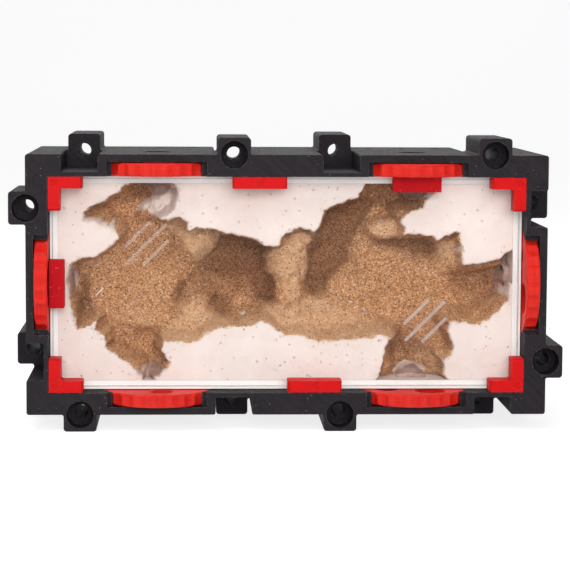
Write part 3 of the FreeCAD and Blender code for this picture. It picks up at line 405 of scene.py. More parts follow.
def sand_material(name):
    m = Material(name)
    damp_and_shade, pale, thin = m.field("damp_and_shade"), m.field("pale"), m.field("thin")
    warped = m.node("ShaderNodeVectorMath", operation="MULTIPLY_ADD")
    m.link(m.noise(2600.0, 1.0, colour=True), warped.inputs[0])
    warped.inputs[1].default_value = (0.00022, 0.00022, 0.00022)
    m.link(m.place(), warped.inputs[2])
    grains = m.cells(2500.0, vector=warped.outputs[0])
    pick = m.red_of(grains["Color"])
    colour = m.colours(pick, [
        (0.00, (0.20, 0.075, 0.030)), (0.08, (0.36, 0.160, 0.068)), (0.22, (0.50, 0.245, 0.110)), (0.48, (0.60, 0.315, 0.150)),
        (0.72, (0.69, 0.390, 0.195)), (0.90, (0.80, 0.500, 0.275)), (1.0, (0.96, 0.74, 0.52))])
    coarse = m.cells(1500.0, vector=warped.outputs[0])
    light = m.math("MULTIPLY", m.ramp(coarse["Distance"], 0.40, 0.20), m.math("LESS_THAN", m.red_of(coarse["Color"]), 0.06))
    colour = m.mix(m.math("MULTIPLY", light, 0.6), colour, (0.96, 0.78, 0.58))
    broad = m.ramp(m.noise(70.0, 4.0, 0.6), 0.36, 0.66)
    colour = m.mix(m.math("MULTIPLY", broad, 0.30), colour, (0.76, 0.62, 0.50), "MULTIPLY")
    mottle = m.ramp(m.noise(360.0, 3.0, 0.6), 0.42, 0.68)
    colour = m.mix(m.math("MULTIPLY", mottle, 0.26), colour, (0.68, 0.56, 0.48), "MULTIPLY")
    # paler sand: painted light on raised lumps and up-facing slopes, and pale plaster dust
    colour = m.mix(m.math("MULTIPLY", pale, 0.55), colour, (0.83, 0.58, 0.365))
    # darker sand: painted shade in the hollows and under the overhangs, and damp sand
    colour = m.mix(m.math("MULTIPLY", damp_and_shade, 0.88), colour, (0.36, 0.27, 0.22), "MULTIPLY")
    # where the sand is thin the plaster shows between the grains
    show = m.ramp(m.math("ADD", m.math("MULTIPLY", m.math("SUBTRACT", m.noise(1300.0, 2.0, 0.6), 0.5), 1.5), m.math("ADD", thin, m.math("MULTIPLY", pale, 0.16))), 0.52, 0.80)
    colour = m.mix(m.math("MULTIPLY", show, 0.8), colour, (0.86, 0.70, 0.58))
    # dark grains, one by one
    single = m.cells(1150.0, vector=warped.outputs[0])
    dark = m.math("MULTIPLY", m.ramp(single["Distance"], 0.44, 0.26), m.math("GREATER_THAN", m.red_of(single["Color"]), 0.83))
    colour = m.mix(m.math("MULTIPLY", dark, 0.88), colour, (0.055, 0.022, 0.011))
    grain = m.math("SUBTRACT", 1.0, grains["Distance"])
    relief = m.math("ADD", grain, m.math("MULTIPLY", pick, 0.5))
    m.plastic(colour, 0.93, m.bump(relief, 0.00014), specular=0.14)
    return m.material


def pane_material(name):
    """Clear sheet: it passes light and shines on its faces, and its cut edges and slits are frosted."""
    m = Material(name)
    y = m.math("ABSOLUTE", m.facing()[1])
    face = m.math("GREATER_THAN", y, 0.9)
    # the saw leaves a frosted border along each slit, and two more short frosted streaks are drawn on the sheet
    x, z = m.axes()[0], m.axes()[2]
    root = math.sqrt(0.5)
    along = m.math("MULTIPLY", m.math("ADD", x, z), root)
    across = m.math("MULTIPLY", m.math("SUBTRACT", z, x), root)
    ragged = m.math("MULTIPLY", m.math("SUBTRACT", m.noise(2600.0, 2.0), 0.5), 0.00022)
    marks = 0.0
    for cx, cz, long, wide, share in SLIT_MARKS:
        u0, v0 = (cx + cz) * root * MM, (cz - cx) * root * MM
        du = m.math("SUBTRACT", m.math("ABSOLUTE", m.math("SUBTRACT", along, u0)), long / 2 * MM)
        dv = m.math("SUBTRACT", m.math("ADD", m.math("ABSOLUTE", m.math("SUBTRACT", across, v0)), ragged), wide / 2 * MM)
        marks = m.math("MAXIMUM", marks, m.math("MULTIPLY", m.ramp(m.math("MAXIMUM", du, dv), 0.00006, -0.00006), share))
    through = m.node("ShaderNodeBsdfTransparent")
    through.inputs["Color"].default_value = (0.99, 0.985, 0.985, 1)
    gloss = m.node("ShaderNodeBsdfGlossy")
    gloss.inputs["Color"].default_value = (1, 1, 1, 1)
    gloss.inputs["Roughness"].default_value = 0.06
    shine = m.node("ShaderNodeFresnel")
    shine.inputs["IOR"].default_value = 1.18
    glass = m.node("ShaderNodeMixShader")
    m.link(shine.outputs[0], glass.inputs[0])
    m.link(through.outputs[0], glass.inputs[1])
    m.link(gloss.outputs[0], glass.inputs[2])
    frost = m.node("ShaderNodeBsdfPrincipled")
    m.link(m.mix(m.noise(1600.0, 2.0), (0.74, 0.66, 0.64), (0.90, 0.86, 0.85)), frost.inputs["Base Color"])
    frost.inputs["Roughness"].default_value = 0.5
    clear = m.node("ShaderNodeMixShader")
    m.link(marks, clear.inputs[0])
    m.link(glass.outputs[0], clear.inputs[1])
    m.link(frost.outputs[0], clear.inputs[2])
    saw = m.noise(1.0, 2.0, vector=m.stretched((900.0, 5200.0, 900.0)))
    m.link(m.bump(saw, 0.00006), frost.inputs["Normal"])
    veil = m.node("ShaderNodeBsdfTransparent")
    veil.inputs["Color"].default_value = (0.96, 0.95, 0.95, 1)
    edge = m.node("ShaderNodeMixShader")
    m.link(m.ramp(m.noise(700.0, 2.0), 0.3, 0.7, 0.22, 0.45), edge.inputs[0])
    m.link(frost.outputs[0], edge.inputs[1])
    m.link(veil.outputs[0], edge.inputs[2])
    both = m.node("ShaderNodeMixShader")
    m.link(face, both.inputs[0])
    m.link(edge.outputs[0], both.inputs[1])
    m.link(clear.outputs[0], both.inputs[2])
    m.surface(both.outputs[0])
    return m.material


# Frosted marks on the sheet, all at 45 degrees: x, z (from the floor), length, width in millimetres, strength.
SLIT_MARKS = []
for sign in (-1, 1):
    for k in (-1, 0, 1):
        SLIT_MARKS.append((sign * 54.2 - k * 5 * 0.70711, 56.5 - sign * 15.0 + k * 5 * 0.70711, 21.7 if k == 0 else 13.6, 0.78, 0.56))
SLIT_MARKS += [(-72.4, 52.9, 4.4, 0.5, 0.34), (-60.9, 54.0, 1.6, 0.35, 0.2)]


def steel_material(name):
    m = Material(name)
    brush = m.noise(1.0, 3.0, 0.6, vector=m.stretched((900.0, 260.0, 900.0)))
    m.plastic(m.mix(brush, (0.50, 0.50, 0.51), (0.66, 0.66, 0.67)), m.blend(brush, 0.26, 0.42), m.bump(brush, 0.00002), metallic=1.0)
    return m.material


def rubber_material(name):
    m = Material(name)
    fine = m.noise(2200.0, 3.0, 0.6)
    cloud = m.noise(180.0, 3.0)
    m.plastic(m.mix(cloud, (0.020, 0.020, 0.022), (0.040, 0.040, 0.043)), m.blend(cloud, 0.55, 0.7), m.bump(fine, 0.00004), specular=0.35)
    return m.material


def tank_material(name):
    m = Material(name)
    cloud = m.noise(120.0, 3.0)
    fine = m.noise(1800.0, 2.0)
    m.plastic(m.mix(cloud, (0.40, 0.42, 0.43), (0.50, 0.52, 0.53)), m.blend(cloud, 0.32, 0.42), m.bump(fine, 0.00002))
    return m.material


def cotton_material(name):
    m = Material(name)
    thread = m.noise(1.0, 3.0, 0.7, vector=m.stretched((3600.0, 500.0, 3600.0)))
    m.plastic(m.mix(thread, (0.70, 0.67, 0.60), (0.88, 0.86, 0.81)), 0.95, m.bump(thread, 0.0002), specular=0.1, sheen=0.3)
    return m.material


# ---------------------------------------------------------------- the carved nest

# The mouth of the carving at the back of the pane, in millimetres from the middle of the nest: x, z.
MOUTH = [
    (-61.7, 38.3), (-61.7, 46), (-43.6, 46), (-43.6, 38.4), (-41.3, 34.7), (-42.8, 29.7), (-45.9, 26.2), (-49.0, 24.6), (-45.9, 23.5),
    (-44.4, 24.6), (-41.3, 25.8), (-38.6, 23.9), (-37.8, 19.6), (-35.1, 21.2), (-31.6, 20.8), (-27.0, 20.4), (-24.2, 19.2),
    (-18.0, 18.1), (-12.2, 16.5), (-7.2, 14.2), (-2.5, 14.2), (-2.1, 16.6), (0.6, 19.7), (5.2, 20.8), (9.1, 20.5), (11.1, 19.3),
    (12.2, 20.9), (13.7, 25.1), (14.1, 28.2), (18.8, 29.8), (22.6, 31.4), (27.3, 32.9), (29.2, 36.0), (30.7, 38.6), (30.7, 46),
    (58.0, 46), (58.0, 38.6), (58.0, 34.9), (55.7, 33.4), (53.8, 31.8), (53.0, 28.7), (48.7, 27.5), (44.9, 25.2), (45.3, 22.9),
    (46.5, 19.7), (46.1, 18.2), (50.0, 19.0), (53.9, 17.8), (56.6, 18.2), (59.8, 16.6), (61.7, 18.2), (65.6, 19.4), (68.4, 19.4),
    (67.6, 17.0), (69.2, 13.9), (68.9, 10.4), (69.3, 6.9), (73.6, 6.9), (79.5, 8.1), (83.4, 8.9), (84.9, 11.2), (88.2, 12.8),
    (95.0, 13.0), (95.0, -0.5), (87.8, -0.9), (87.1, -6.8), (84.8, -10.0), (82.9, -11.9), (79.0, -14.7), (75.9, -17.1),
    (71.2, -16.3), (66.1, -15.5), (63.7, -16.3), (63.4, -19.4), (65.0, -23.3), (65.8, -26.5), (64.3, -29.7), (61.5, -30.8),
    (62.0, -34.0), (63.2, -38.3), (63.2, -46), (34.9, -46), (34.9, -38.3), (36.9, -35.2), (38.0, -31.2), (38.7, -26.5),
    (39.9, -23.3), (41.0, -22.5), (37.5, -20.6), (32.8, -22.2), (25.0, -22.5), (17.2, -23.3), (13.3, -23.3), (5.5, -21.0),
    (-0.4, -20.6), (-4.3, -18.6), (-7.0, -16.6), (-9.4, -15.5), (-12.1, -17.0), (-16.0, -17.8), (-23.8, -17.8), (-27.7, -18.6),
    (-31.5, -20.6), (-33.5, -22.5), (-37.4, -24.1), (-40.5, -23.3), (-47.1, -23.3), (-48.3, -26.4), (-46.7, -29.6), (-44.4, -32.3),
    (-47.1, -34.3), (-49.0, -37.0), (-51.0, -38.2), (-51.0, -46), (-56.8, -46), (-56.8, -38.2), (-58.4, -35.0), (-61.5, -31.9),
    (-66.5, -28.4), (-70.0, -26.4), (-69.6, -24.1), (-70.7, -20.9), (-74.2, -19.0), (-73.8, -15.5), (-76.1, -17.0), (-79.2, -18.2),
    (-81.6, -18.6), (-82.3, -15.5), (-83.5, -9.2), (-85.0, -4.9), (-85.3, -1.0), (-84.2, 4.0), (-83.8, 7.1), (-79.9, 9.1),
    (-74.1, 9.9), (-70.2, 11.8), (-67.1, 14.9), (-65.2, 17.2), (-66.4, 19.6), (-70.2, 21.1), (-74.1, 23.4), (-78.7, 23.4),
    (-78.7, 27.3), (-76.0, 29.6), (-72.1, 30.4), (-69.0, 32.7), (-64.4, 35.8),
]

# Ports: middle of each tunnel (x or z), where its rounded end lies along it, and how clear of sand it is.
TUNNEL_DEPTH, TUNNEL_RADIUS = 14.4, 5.75
TUNNELS = [
    ("top", -50.0, 39.0, 1.0), ("top", 50.0, 37.5, 1.0), ("bottom", -50.0, -38.4, 1.0), ("bottom", 50.0, -38.4, 1.0),
    ("left", 0.0, -85.2, 0.35), ("right", 0.0, 87.2, 0.8),
]

# Forms of the carved floor: x, z, half length, half height, turn in degrees, rise towards the pane in mm (negative is deeper), squareness.
FORMS = [
    # risen
    (-35.0, 15.5, 8.0, 6.5, 20, 8.5, 1.6),
    (-30.0, -17.5, 21.0, 4.5, -2, 5.5, 1.4),
    (-35.0, -9.5, 6.5, 5.0, 30, 5.0, 1.5),
    (-1.5, 9.5, 6.5, 6.0, 80, 8.0, 1.9),
    (0.5, -3.0, 6.5, 8.0, 10, 6.0, 1.6),
    (5.5, 15.5, 6.5, 4.6, 0, 7.5, 1.7),
    (6.0, 8.0, 3.4, 5.0, 0, 5.0, 1.6),
    (3.0, -15.5, 12.0, 5.0, 0, 5.5, 1.5),
    (23.0, -15.0, 9.0, 5.5, -10, 3.6, 1.4),
    (40.5, 21.0, 9.0, 4.0, 0, 8.5, 2.6),
    (64.5, 11.0, 6.5, 6.5, 0, 7.0, 1.7),
    (76.0, 7.2, 9.0, 2.6, 6, 6.0, 1.7),
    (60.5, -27.5, 4.6, 9.5, 0, 5.5, 1.6),
    (38.0, -32.0, 3.0, 9.0, -12, 6.0, 1.5),
    (-62.0, -8.0, 13.0, 10.0, 0, 3.0, 1.5),
    (-72.0, 21.5, 8.0, 6.0, -20, 11.5, 2.2),
    (-53.0, 28.5, 4.5, 3.0, 40, 7.0, 1.8),
    (-46.5, 31.5, 5.0, 5.5, -35, 7.0, 1.8),
    (40.0, 1.0, 12.0, 6.0, 0, 2.0, 1.3),
    (75.0, -13.0, 8.0, 3.0, 10, 2.6, 1.5),
    # deeper
    (-19.0, 8.0, 12.5, 10.0, 8, -3.6, 1.6),
    (-29.0, 10.0, 5.0, 9.0, -42, -2.6, 1.5),
    (-17.0, -7.0, 12.0, 6.0, 0, -2.4, 1.4),
    (-10.5, -1.5, 3.0, 3.0, 0, -2.4, 1.5),
    (-6.5, -8.2, 2.6, 1.2, 10, -3.2, 1.3),
    (1.2, -9.2, 1.4, 0.9, 30, -2.4, 1.2),
    (-41.6, -3.2, 1.1, 6.0, -26, -2.6, 1.3),
    (18.0, 15.0, 8.0, 13.0, -18, -3.4, 1.6),
    (11.5, -3.0, 3.8, 2.6, -35, -4.0, 1.5),
    (24.5, 11.5, 3.0, 2.0, 0, -2.0, 1.4),
    (23.0, 4.5, 5.5, 3.0, 0, -1.6, 1.4),
    (52.0, 12.0, 9.0, 4.0, -8, -2.8, 1.6),
    (74.0, -2.0, 9.0, 6.0, 0, -3.0, 1.5),
    (82.0, 1.5, 3.2, 3.2, 0, -1.5, 1.5),
    (46.0, -26.0, 4.4, 8.5, -6, -3.4, 1.7),
    (-79.0, -9.0, 2.0, 11.0, 4, -2.6, 1.5),
    (-51.0, 16.0, 9.0, 7.0, 10, -1.6, 1.4),
    (-54.0, -24.0, 6.0, 5.0, 0, -1.2, 1.4),
]

# Places with no sand, where the plaster shows: x, z, half length, half height, turn, share.
BARE = [
    (-46.5, 31.0, 5.5, 6.0, -35, 1.0), (-55.0, 29.8, 3.0, 1.4, 30, 1.0), (-51.0, 27.0, 3.2, 1.2, -40, 0.9),
    (-73.5, 23.6, 5.0, 1.2, -22, 0.9), (-67.6, 20.5, 1.2, 4.0, -10, 0.95), (-78.0, 25.0, 1.2, 1.4, 0, 0.6),
    (-83.6, 1.5, 2.6, 7.5, 6, 0.50), (-82.0, -14.5, 0.9, 4.0, 8, 0.7),
    (-53.0, -36.3, 6.0, 3.2, 0, 1.0), (49.0, -35.4, 5.6, 3.0, 0, 1.0),
    (86.3, 1.5, 1.8, 7.0, 6, 0.9), (84.2, -2.8, 1.0, 1.8, 0, 0.8),
    (50.5, 35.6, 4.4, 1.8, 0, 0.8), (67.5, 14.2, 3.2, 0.7, 32, 0.9),
    (-16.8, -12.4, 1.2, 0.45, 20, 0.85), (-7.8, -16.3, 1.0, 0.7, 30, 0.8), (25.8, -8.5, 1.1, 0.35, -30, 0.75), (31.5, -11.0, 1.0, 0.3, -35, 0.75),
    (20.3, -7.8, 0.5, 0.4, 0, 0.6), (37.0, 24.0, 0.9, 0.5, 0, 0.6), (-61.0, -2.5, 0.7, 0.4, -40, 0.5),
]

# Places where the sand is painted paler: painted light on raised lumps and on slopes that face up, and pale plaster
# dust among the sand.
PALE_AND_LIT = [
    (3.0, -18.0, 13.0, 4.0, 0, 0.75), (6.0, 18.0, 7.0, 2.6, 0, 0.8), (-24.0, -16.0, 6.0, 3.0, 0, 0.5), (-36.0, -21.0, 9.0, 3.0, 0, 0.5),
    (-34.0, 17.0, 7.0, 5.0, 20, 0.35), (4.5, 6.5, 4.0, 4.0, 0, 0.30), (12.0, -8.5, 4.0, 3.0, 0, 0.45), (-55.0, -34.0, 6.0, 2.0, 0, 0.3),
    (-74.0, 8.0, 5.0, 2.0, 10, 0.35), (-40.0, 21.5, 3.0, 3.0, 0, 0.35), (64.0, 13.0, 6.0, 5.0, 0, 0.3), (57.0, -33.0, 4.0, 5.0, 0, 0.25),
    (-60.0, -14.0, 10.0, 6.0, 0, 0.20),
]

# Places where the sand is painted darker: painted shade in the hollows and under the overhangs, and damp sand.
DAMP_AND_SHADE = [
    (-19.0, 9.0, 11.5, 8.5, 8, 1.0), (-28.0, 9.0, 4.0, 8.0, -42, 0.8), (-13.0, -4.0, 7.0, 5.0, -20, 0.5), (-26.0, -8.5, 4.0, 4.0, 0, 0.45),
    (18.0, 15.0, 7.5, 13.0, -18, 0.9), (12.0, -2.5, 5.0, 3.6, -35, 1.0), (25.0, 5.0, 6.0, 4.0, 0, 0.4), (28.0, 30.0, 10.0, 3.5, 20, 0.6),
    (52.0, 12.5, 9.0, 3.6, -8, 0.75), (45.0, 30.5, 9.0, 3.0, 0, 0.35), (75.0, -1.5, 9.0, 5.5, 0, 0.55), (81.0, 2.0, 4.0, 4.0, 0, 0.6),
    (45.5, -25.5, 4.0, 8.0, -6, 0.65), (-79.0, -7.0, 2.2, 11.0, 4, 0.75), (-52.0, 35.0, 8.0, 3.5, 0, 0.8), (-41.5, -3.0, 1.4, 6.5, -26, 0.6),
    (-6.5, -8.2, 3.0, 1.4, 10, 0.9), (1.0, -9.2, 1.6, 1.0, 30, 0.8), (-50.0, 15.0, 10.0, 8.0, 0, 0.30), (-45.0, 12.0, 5.0, 6.0, 0, 0.25),
    (-55.0, -25.0, 7.0, 5.0, 0, 0.20), (40.0, 14.5, 10.0, 1.6, 0, 0.55), (70.0, -4.0, 6.0, 4.0, 0, 0.2),
]

# Hollows and shelves with a clear outline: field, strength, softness of the edge, mm deeper, outline (x, z). The damp
# ones paint shade into the hollows, and the pale ones paint light on shelves and slopes that face up.
PATCHES = [
    ("damp_and_shade", 1.0, 1.4, 3.0, [(-33.1, 6.0), (-29.6, 9.5), (-27.3, 13.9), (-25.7, 17.8), (-21.5, 19.0), (-17.2, 18.0), (-12.5, 16.3), (-7.5, 14.3),
                             (-6.9, 12.7), (-8.3, 9.9), (-7.5, 7.2), (-8.1, 4.4), (-5.1, 2.8), (-4.2, -1.1), (-4.8, -6.3), (-7.1, -8.4), (-11.0, -7.4),
                             (-13.3, -2.7), (-14.5, 1.2), (-20.7, 0.5), (-26.1, 1.2), (-31.6, 2.8)]),
    ("damp_and_shade", 0.5, 3.0, 1.0, [(-33.1, 6.0), (-40.9, -2.7), (-43.2, -10.6), (-37.8, -7.4), (-31.6, -5.9), (-30.0, -10.6), (-26.1, -13.1), (-21.5, -12.2),
                             (-20.7, -7.4), (-13.3, -4.3), (-14.5, 1.2), (-31.6, 2.8)]),
    ("damp_and_shade", 0.5, 0.8, 1.0, [(-28.1, 10.6), (-33.9, 6.1), (-37.8, 1.6), (-40.5, -1.1), (-42.5, -4.3), (-43.1, -7.4), (-41.7, -7.4), (-40.5, -4.3),
                             (-37.8, -1.1), (-33.1, 4.4), (-28.1, 8.8)]),
    ("damp_and_shade", 0.45, 1.6, 0.8, [(-29.6, -6.7), (-26.1, -5.1), (-21.5, -7.4), (-21.9, -11.4), (-25.4, -13.1), (-28.9, -10.6)]),
    ("damp_and_shade", 0.9, 1.6, 2.5, [(14.4, 27.3), (15.9, 28.3), (21.0, 30.5), (27.2, 32.1), (31.9, 32.8), (34.2, 31.3), (32.7, 28.1), (29.5, 24.2), (27.2, 19.4),
                             (24.9, 13.9), (24.1, 8.4), (21.0, 5.2), (17.1, 0.5), (13.2, -4.3), (10.1, -5.1), (8.2, -1.9), (7.8, 2.0), (8.9, 4.4),
                             (8.5, 8.4), (8.2, 13.1), (10.1, 17.0), (12.0, 19.8), (13.6, 23.8)]),
    ("damp_and_shade", 0.6, 0.9, 2.5, [(8.2, 0.1), (10.9, 0.9), (13.6, -1.1), (13.8, -4.3), (11.7, -5.7), (8.9, -4.3)]),
    ("damp_and_shade", 0.75, 1.2, 1.5, [(32.3, 17.0), (35.8, 16.4), (45.1, 17.4), (52.1, 17.0), (57.5, 16.3), (59.5, 13.9), (57.9, 10.7), (52.1, 11.1), (45.1, 13.1),
                              (38.1, 13.9), (33.4, 15.1)]),
    ("damp_and_shade", 0.5, 2.0, 0.6, [(28.0, 35.2), (31.9, 38.8), (42.0, 38.8), (45.1, 35.2), (51.3, 33.6), (52.9, 29.7), (48.2, 27.3), (42.0, 28.1), (35.0, 29.7),
                             (28.8, 31.3)]),
    ("damp_and_shade", 0.35, 3.0, 0.8, [(63.0, 4.4), (71.5, 3.6), (79.3, 5.2), (80.9, 0.5), (78.5, -4.3), (71.5, -2.7), (65.3, -1.1)]),
    ("damp_and_shade", 0.5, 1.6, 0.6, [(42.6, -18.1), (46.6, -20.1), (52.1, -23.2), (56.0, -27.2), (51.3, -29.6), (45.1, -28.8), (40.4, -31.1), (40.8, -27.2)]),
    ("damp_and_shade", 0.55, 1.6, 0.5, [(-60.3, 37.6), (-53.4, 38.8), (-42.5, 38.8), (-44.0, 36.0), (-50.2, 34.0), (-56.5, 32.8), (-60.3, 31.3), (-64.2, 30.5)]),
    ("damp_and_shade", 0.55, 1.2, 0.8, [(-79.0, 2.8), (-75.9, 5.2), (-75.9, -1.1), (-77.5, -4.3), (-78.2, -10.6), (-79.8, -15.3), (-80.6, -10.6), (-79.4, -4.3)]),
    ("pale", 0.8, 1.0, -1.0, [(-48.7, 24.2), (-40.9, 25.7), (-37.8, 23.0), (-37.0, 21.0), (-28.5, 21.0), (-25.4, 18.6), (-27.3, 13.9), (-29.6, 9.5),
                              (-33.9, 6.4), (-37.0, 9.9), (-40.9, 16.3), (-45.6, 19.4)]),
    ("pale", 0.6, 1.0, -1.0, [(-7.1, 13.5), (-2.0, 13.9), (-0.5, 17.8), (5.4, 19.8), (5.4, -22.5), (0.3, -20.9), (-4.4, -18.5), (-8.3, -16.1),
                              (-9.8, -13.8), (-9.0, -10.6), (-5.1, -7.4), (-1.3, -9.0), (0.3, -4.3), (-2.0, -1.1), (-3.6, 2.8), (-7.5, 4.8), (-7.6, 8.4),
                              (-8.3, 10.7)]),
    ("pale", 0.7, 1.6, -0.5, [(-48.3, -20.1), (-44.0, -14.6), (-37.8, -11.4), (-30.0, -11.4), (-26.1, -13.8), (-21.5, -15.3), (-12.9, -13.8),
                              (-8.3, -16.1), (-12.1, -17.7), (-21.5, -18.9), (-26.9, -20.1), (-33.1, -23.2), (-37.8, -24.8), (-42.5, -24.0), (-47.1, -24.0)]),
    ("pale", 0.5, 2.4, 0.0, [(-41.7, -9.0), (-37.8, -6.7), (-31.6, -6.7), (-30.0, -10.6), (-33.1, -13.8), (-39.4, -13.8)]),
    ("pale", 0.6, 1.0, -0.5, [(1.5, 19.4), (4.7, 20.6), (9.3, 19.8), (10.9, 19.0), (8.2, 13.9), (7.8, 8.4), (8.9, 4.4), (6.2, 0.5), (1.5, -1.1)]),
    ("pale", 0.65, 2.0, -0.5, [(1.5, -10.6), (6.2, -7.4), (13.2, -7.4), (21.0, -10.6), (31.1, -13.8), (40.4, -16.9), (42.0, -20.1), (38.9, -22.5),
                               (34.2, -21.7), (24.9, -21.7), (17.1, -23.2), (9.3, -22.5), (1.5, -21.7)]),
    ("pale", 0.7, 0.8, -0.5, [(32.3, 21.8), (35.0, 24.2), (44.3, 24.6), (46.3, 22.6), (46.3, 19.4), (45.1, 17.4), (35.8, 16.7)]),
    ("pale", 0.6, 0.8, -0.5, [(59.1, 13.9), (63.8, 15.5), (67.6, 17.0), (69.2, 13.9), (70.0, 9.9), (68.4, 6.0), (63.8, 8.4), (59.9, 10.7)]),
    ("pale", 0.35, 1.6, 0.0, [(48.2, -27.2), (56.0, -25.6), (63.8, -24.8), (64.9, -28.8), (62.2, -32.7), (60.6, -37.9), (55.2, -36.7), (52.1, -31.1)]),
]

# The picture plane that the forms above were read on lies in front of the floor, so they move a little away from the camera's axis.
SEEN_FROM = (-37.4, 83.5)
DEEPER = 0.0117


def lattice(cell, seed, x, z):
    """Smooth noise from -1 to 1 with one bump each cell."""
    table = np.random.default_rng(seed).random((256, 256)) * 2 - 1
    u, v = x / cell + 40.3, z / cell + 87.7
    i, j = np.floor(u).astype(int), np.floor(v).astype(int)
    a, b = u - i, v - j
    a, b = a * a * a * (a * (a * 6 - 15) + 10), b * b * b * (b * (b * 6 - 15) + 10)
    i0, i1, j0, j1 = i % 256, (i + 1) % 256, j % 256, (j + 1) % 256
    return (table[i0, j0] * (1 - a) + table[i1, j0] * a) * (1 - b) + (table[i0, j1] * (1 - a) + table[i1, j1] * a) * b


def rough_noise(cell, seed, x, z, octaves=3, gain=0.5):
    total, size, weight = 0.0, 1.0, 0.0
    for k in range(octaves):
        total = total + size * lattice(cell / 2**k, seed + 11 * k, x, z)
        weight += size
        size *= gain
    return total / weight


def spot(x, z, cx, cz, rx, rz, turn, power):
    cx, cz = cx + (cx - SEEN_FROM[0]) * DEEPER, cz + (cz - SEEN_FROM[1]) * DEEPER
    a = math.radians(turn)
    u = ((x - cx) * math.cos(a) + (z - cz) * math.sin(a)) / rx
    v = (-(x - cx) * math.sin(a) + (z - cz) * math.cos(a)) / rz
    return np.exp(-(((u * u + v * v) / 1.3) ** power))


def smooth(value, low, high):
    t = np.clip((value - low) / (high - low), 0, 1)
    return t * t * (3 - 2 * t)


def to_mouth(x, z):
    """Distance to the mouth's outline, positive inside it, and how much the nearest wall faces up, from -1 to 1."""
    points = np.array(MOUTH, float)
    after = np.roll(points, -1, axis=0)
    flat_x, flat_z = x.ravel(), z.ravel()
    near = np.full(flat_x.shape, 1e9)
    inside = np.zeros(flat_x.shape, bool)
    up, weight = np.zeros(flat_x.shape), np.zeros(flat_x.shape)
    for (ax, az), (bx, bz) in zip(points, after):
        ex, ez = bx - ax, bz - az
        long = math.hypot(ex, ez)
        t = np.clip(((flat_x - ax) * ex + (flat_z - az) * ez) / (long * long), 0, 1)
        dx, dz = flat_x - (ax + t * ex), flat_z - (az + t * ez)
        d = np.sqrt(dx * dx + dz * dz) + 1e-6
        near = np.minimum(near, d)
        w = long / (d + 0.4) ** 4
        up += w * dz / d
        weight += w
        crosses = (az > flat_z) != (bz > flat_z)
        if abs(ez) > 1e-9:
            inside ^= crosses & (flat_x < ax + (flat_z - az) * ex / ez)
    up = up / weight * np.where(inside, 1, -1)
    return np.where(inside, near, -near).reshape(x.shape), up.reshape(x.shape)


def patch(x, z, outline, soft):
    """1 well inside an outline, 0 well outside it, with an edge of a given softness."""
    points = np.array(outline, float)
    points = points + (points - np.array(SEEN_FROM)) * DEEPER
    near = np.full(x.shape, 1e9)
    inside = np.zeros(x.shape, bool)
    for (ax, az), (bx, bz) in zip(points, np.roll(points, -1, axis=0)):
        ex, ez = bx - ax, bz - az
        t = np.clip(((x - ax) * ex + (z - az) * ez) / (ex * ex + ez * ez), 0, 1)
        near = np.minimum(near, np.hypot(x - (ax + t * ex), z - (az + t * ez)))
        if abs(ez) > 1e-9:
            inside ^= ((az > z) != (bz > z)) & (x < ax + (z - az) * ex / ez)
    return smooth(np.where(inside, near, -near), -soft, soft)


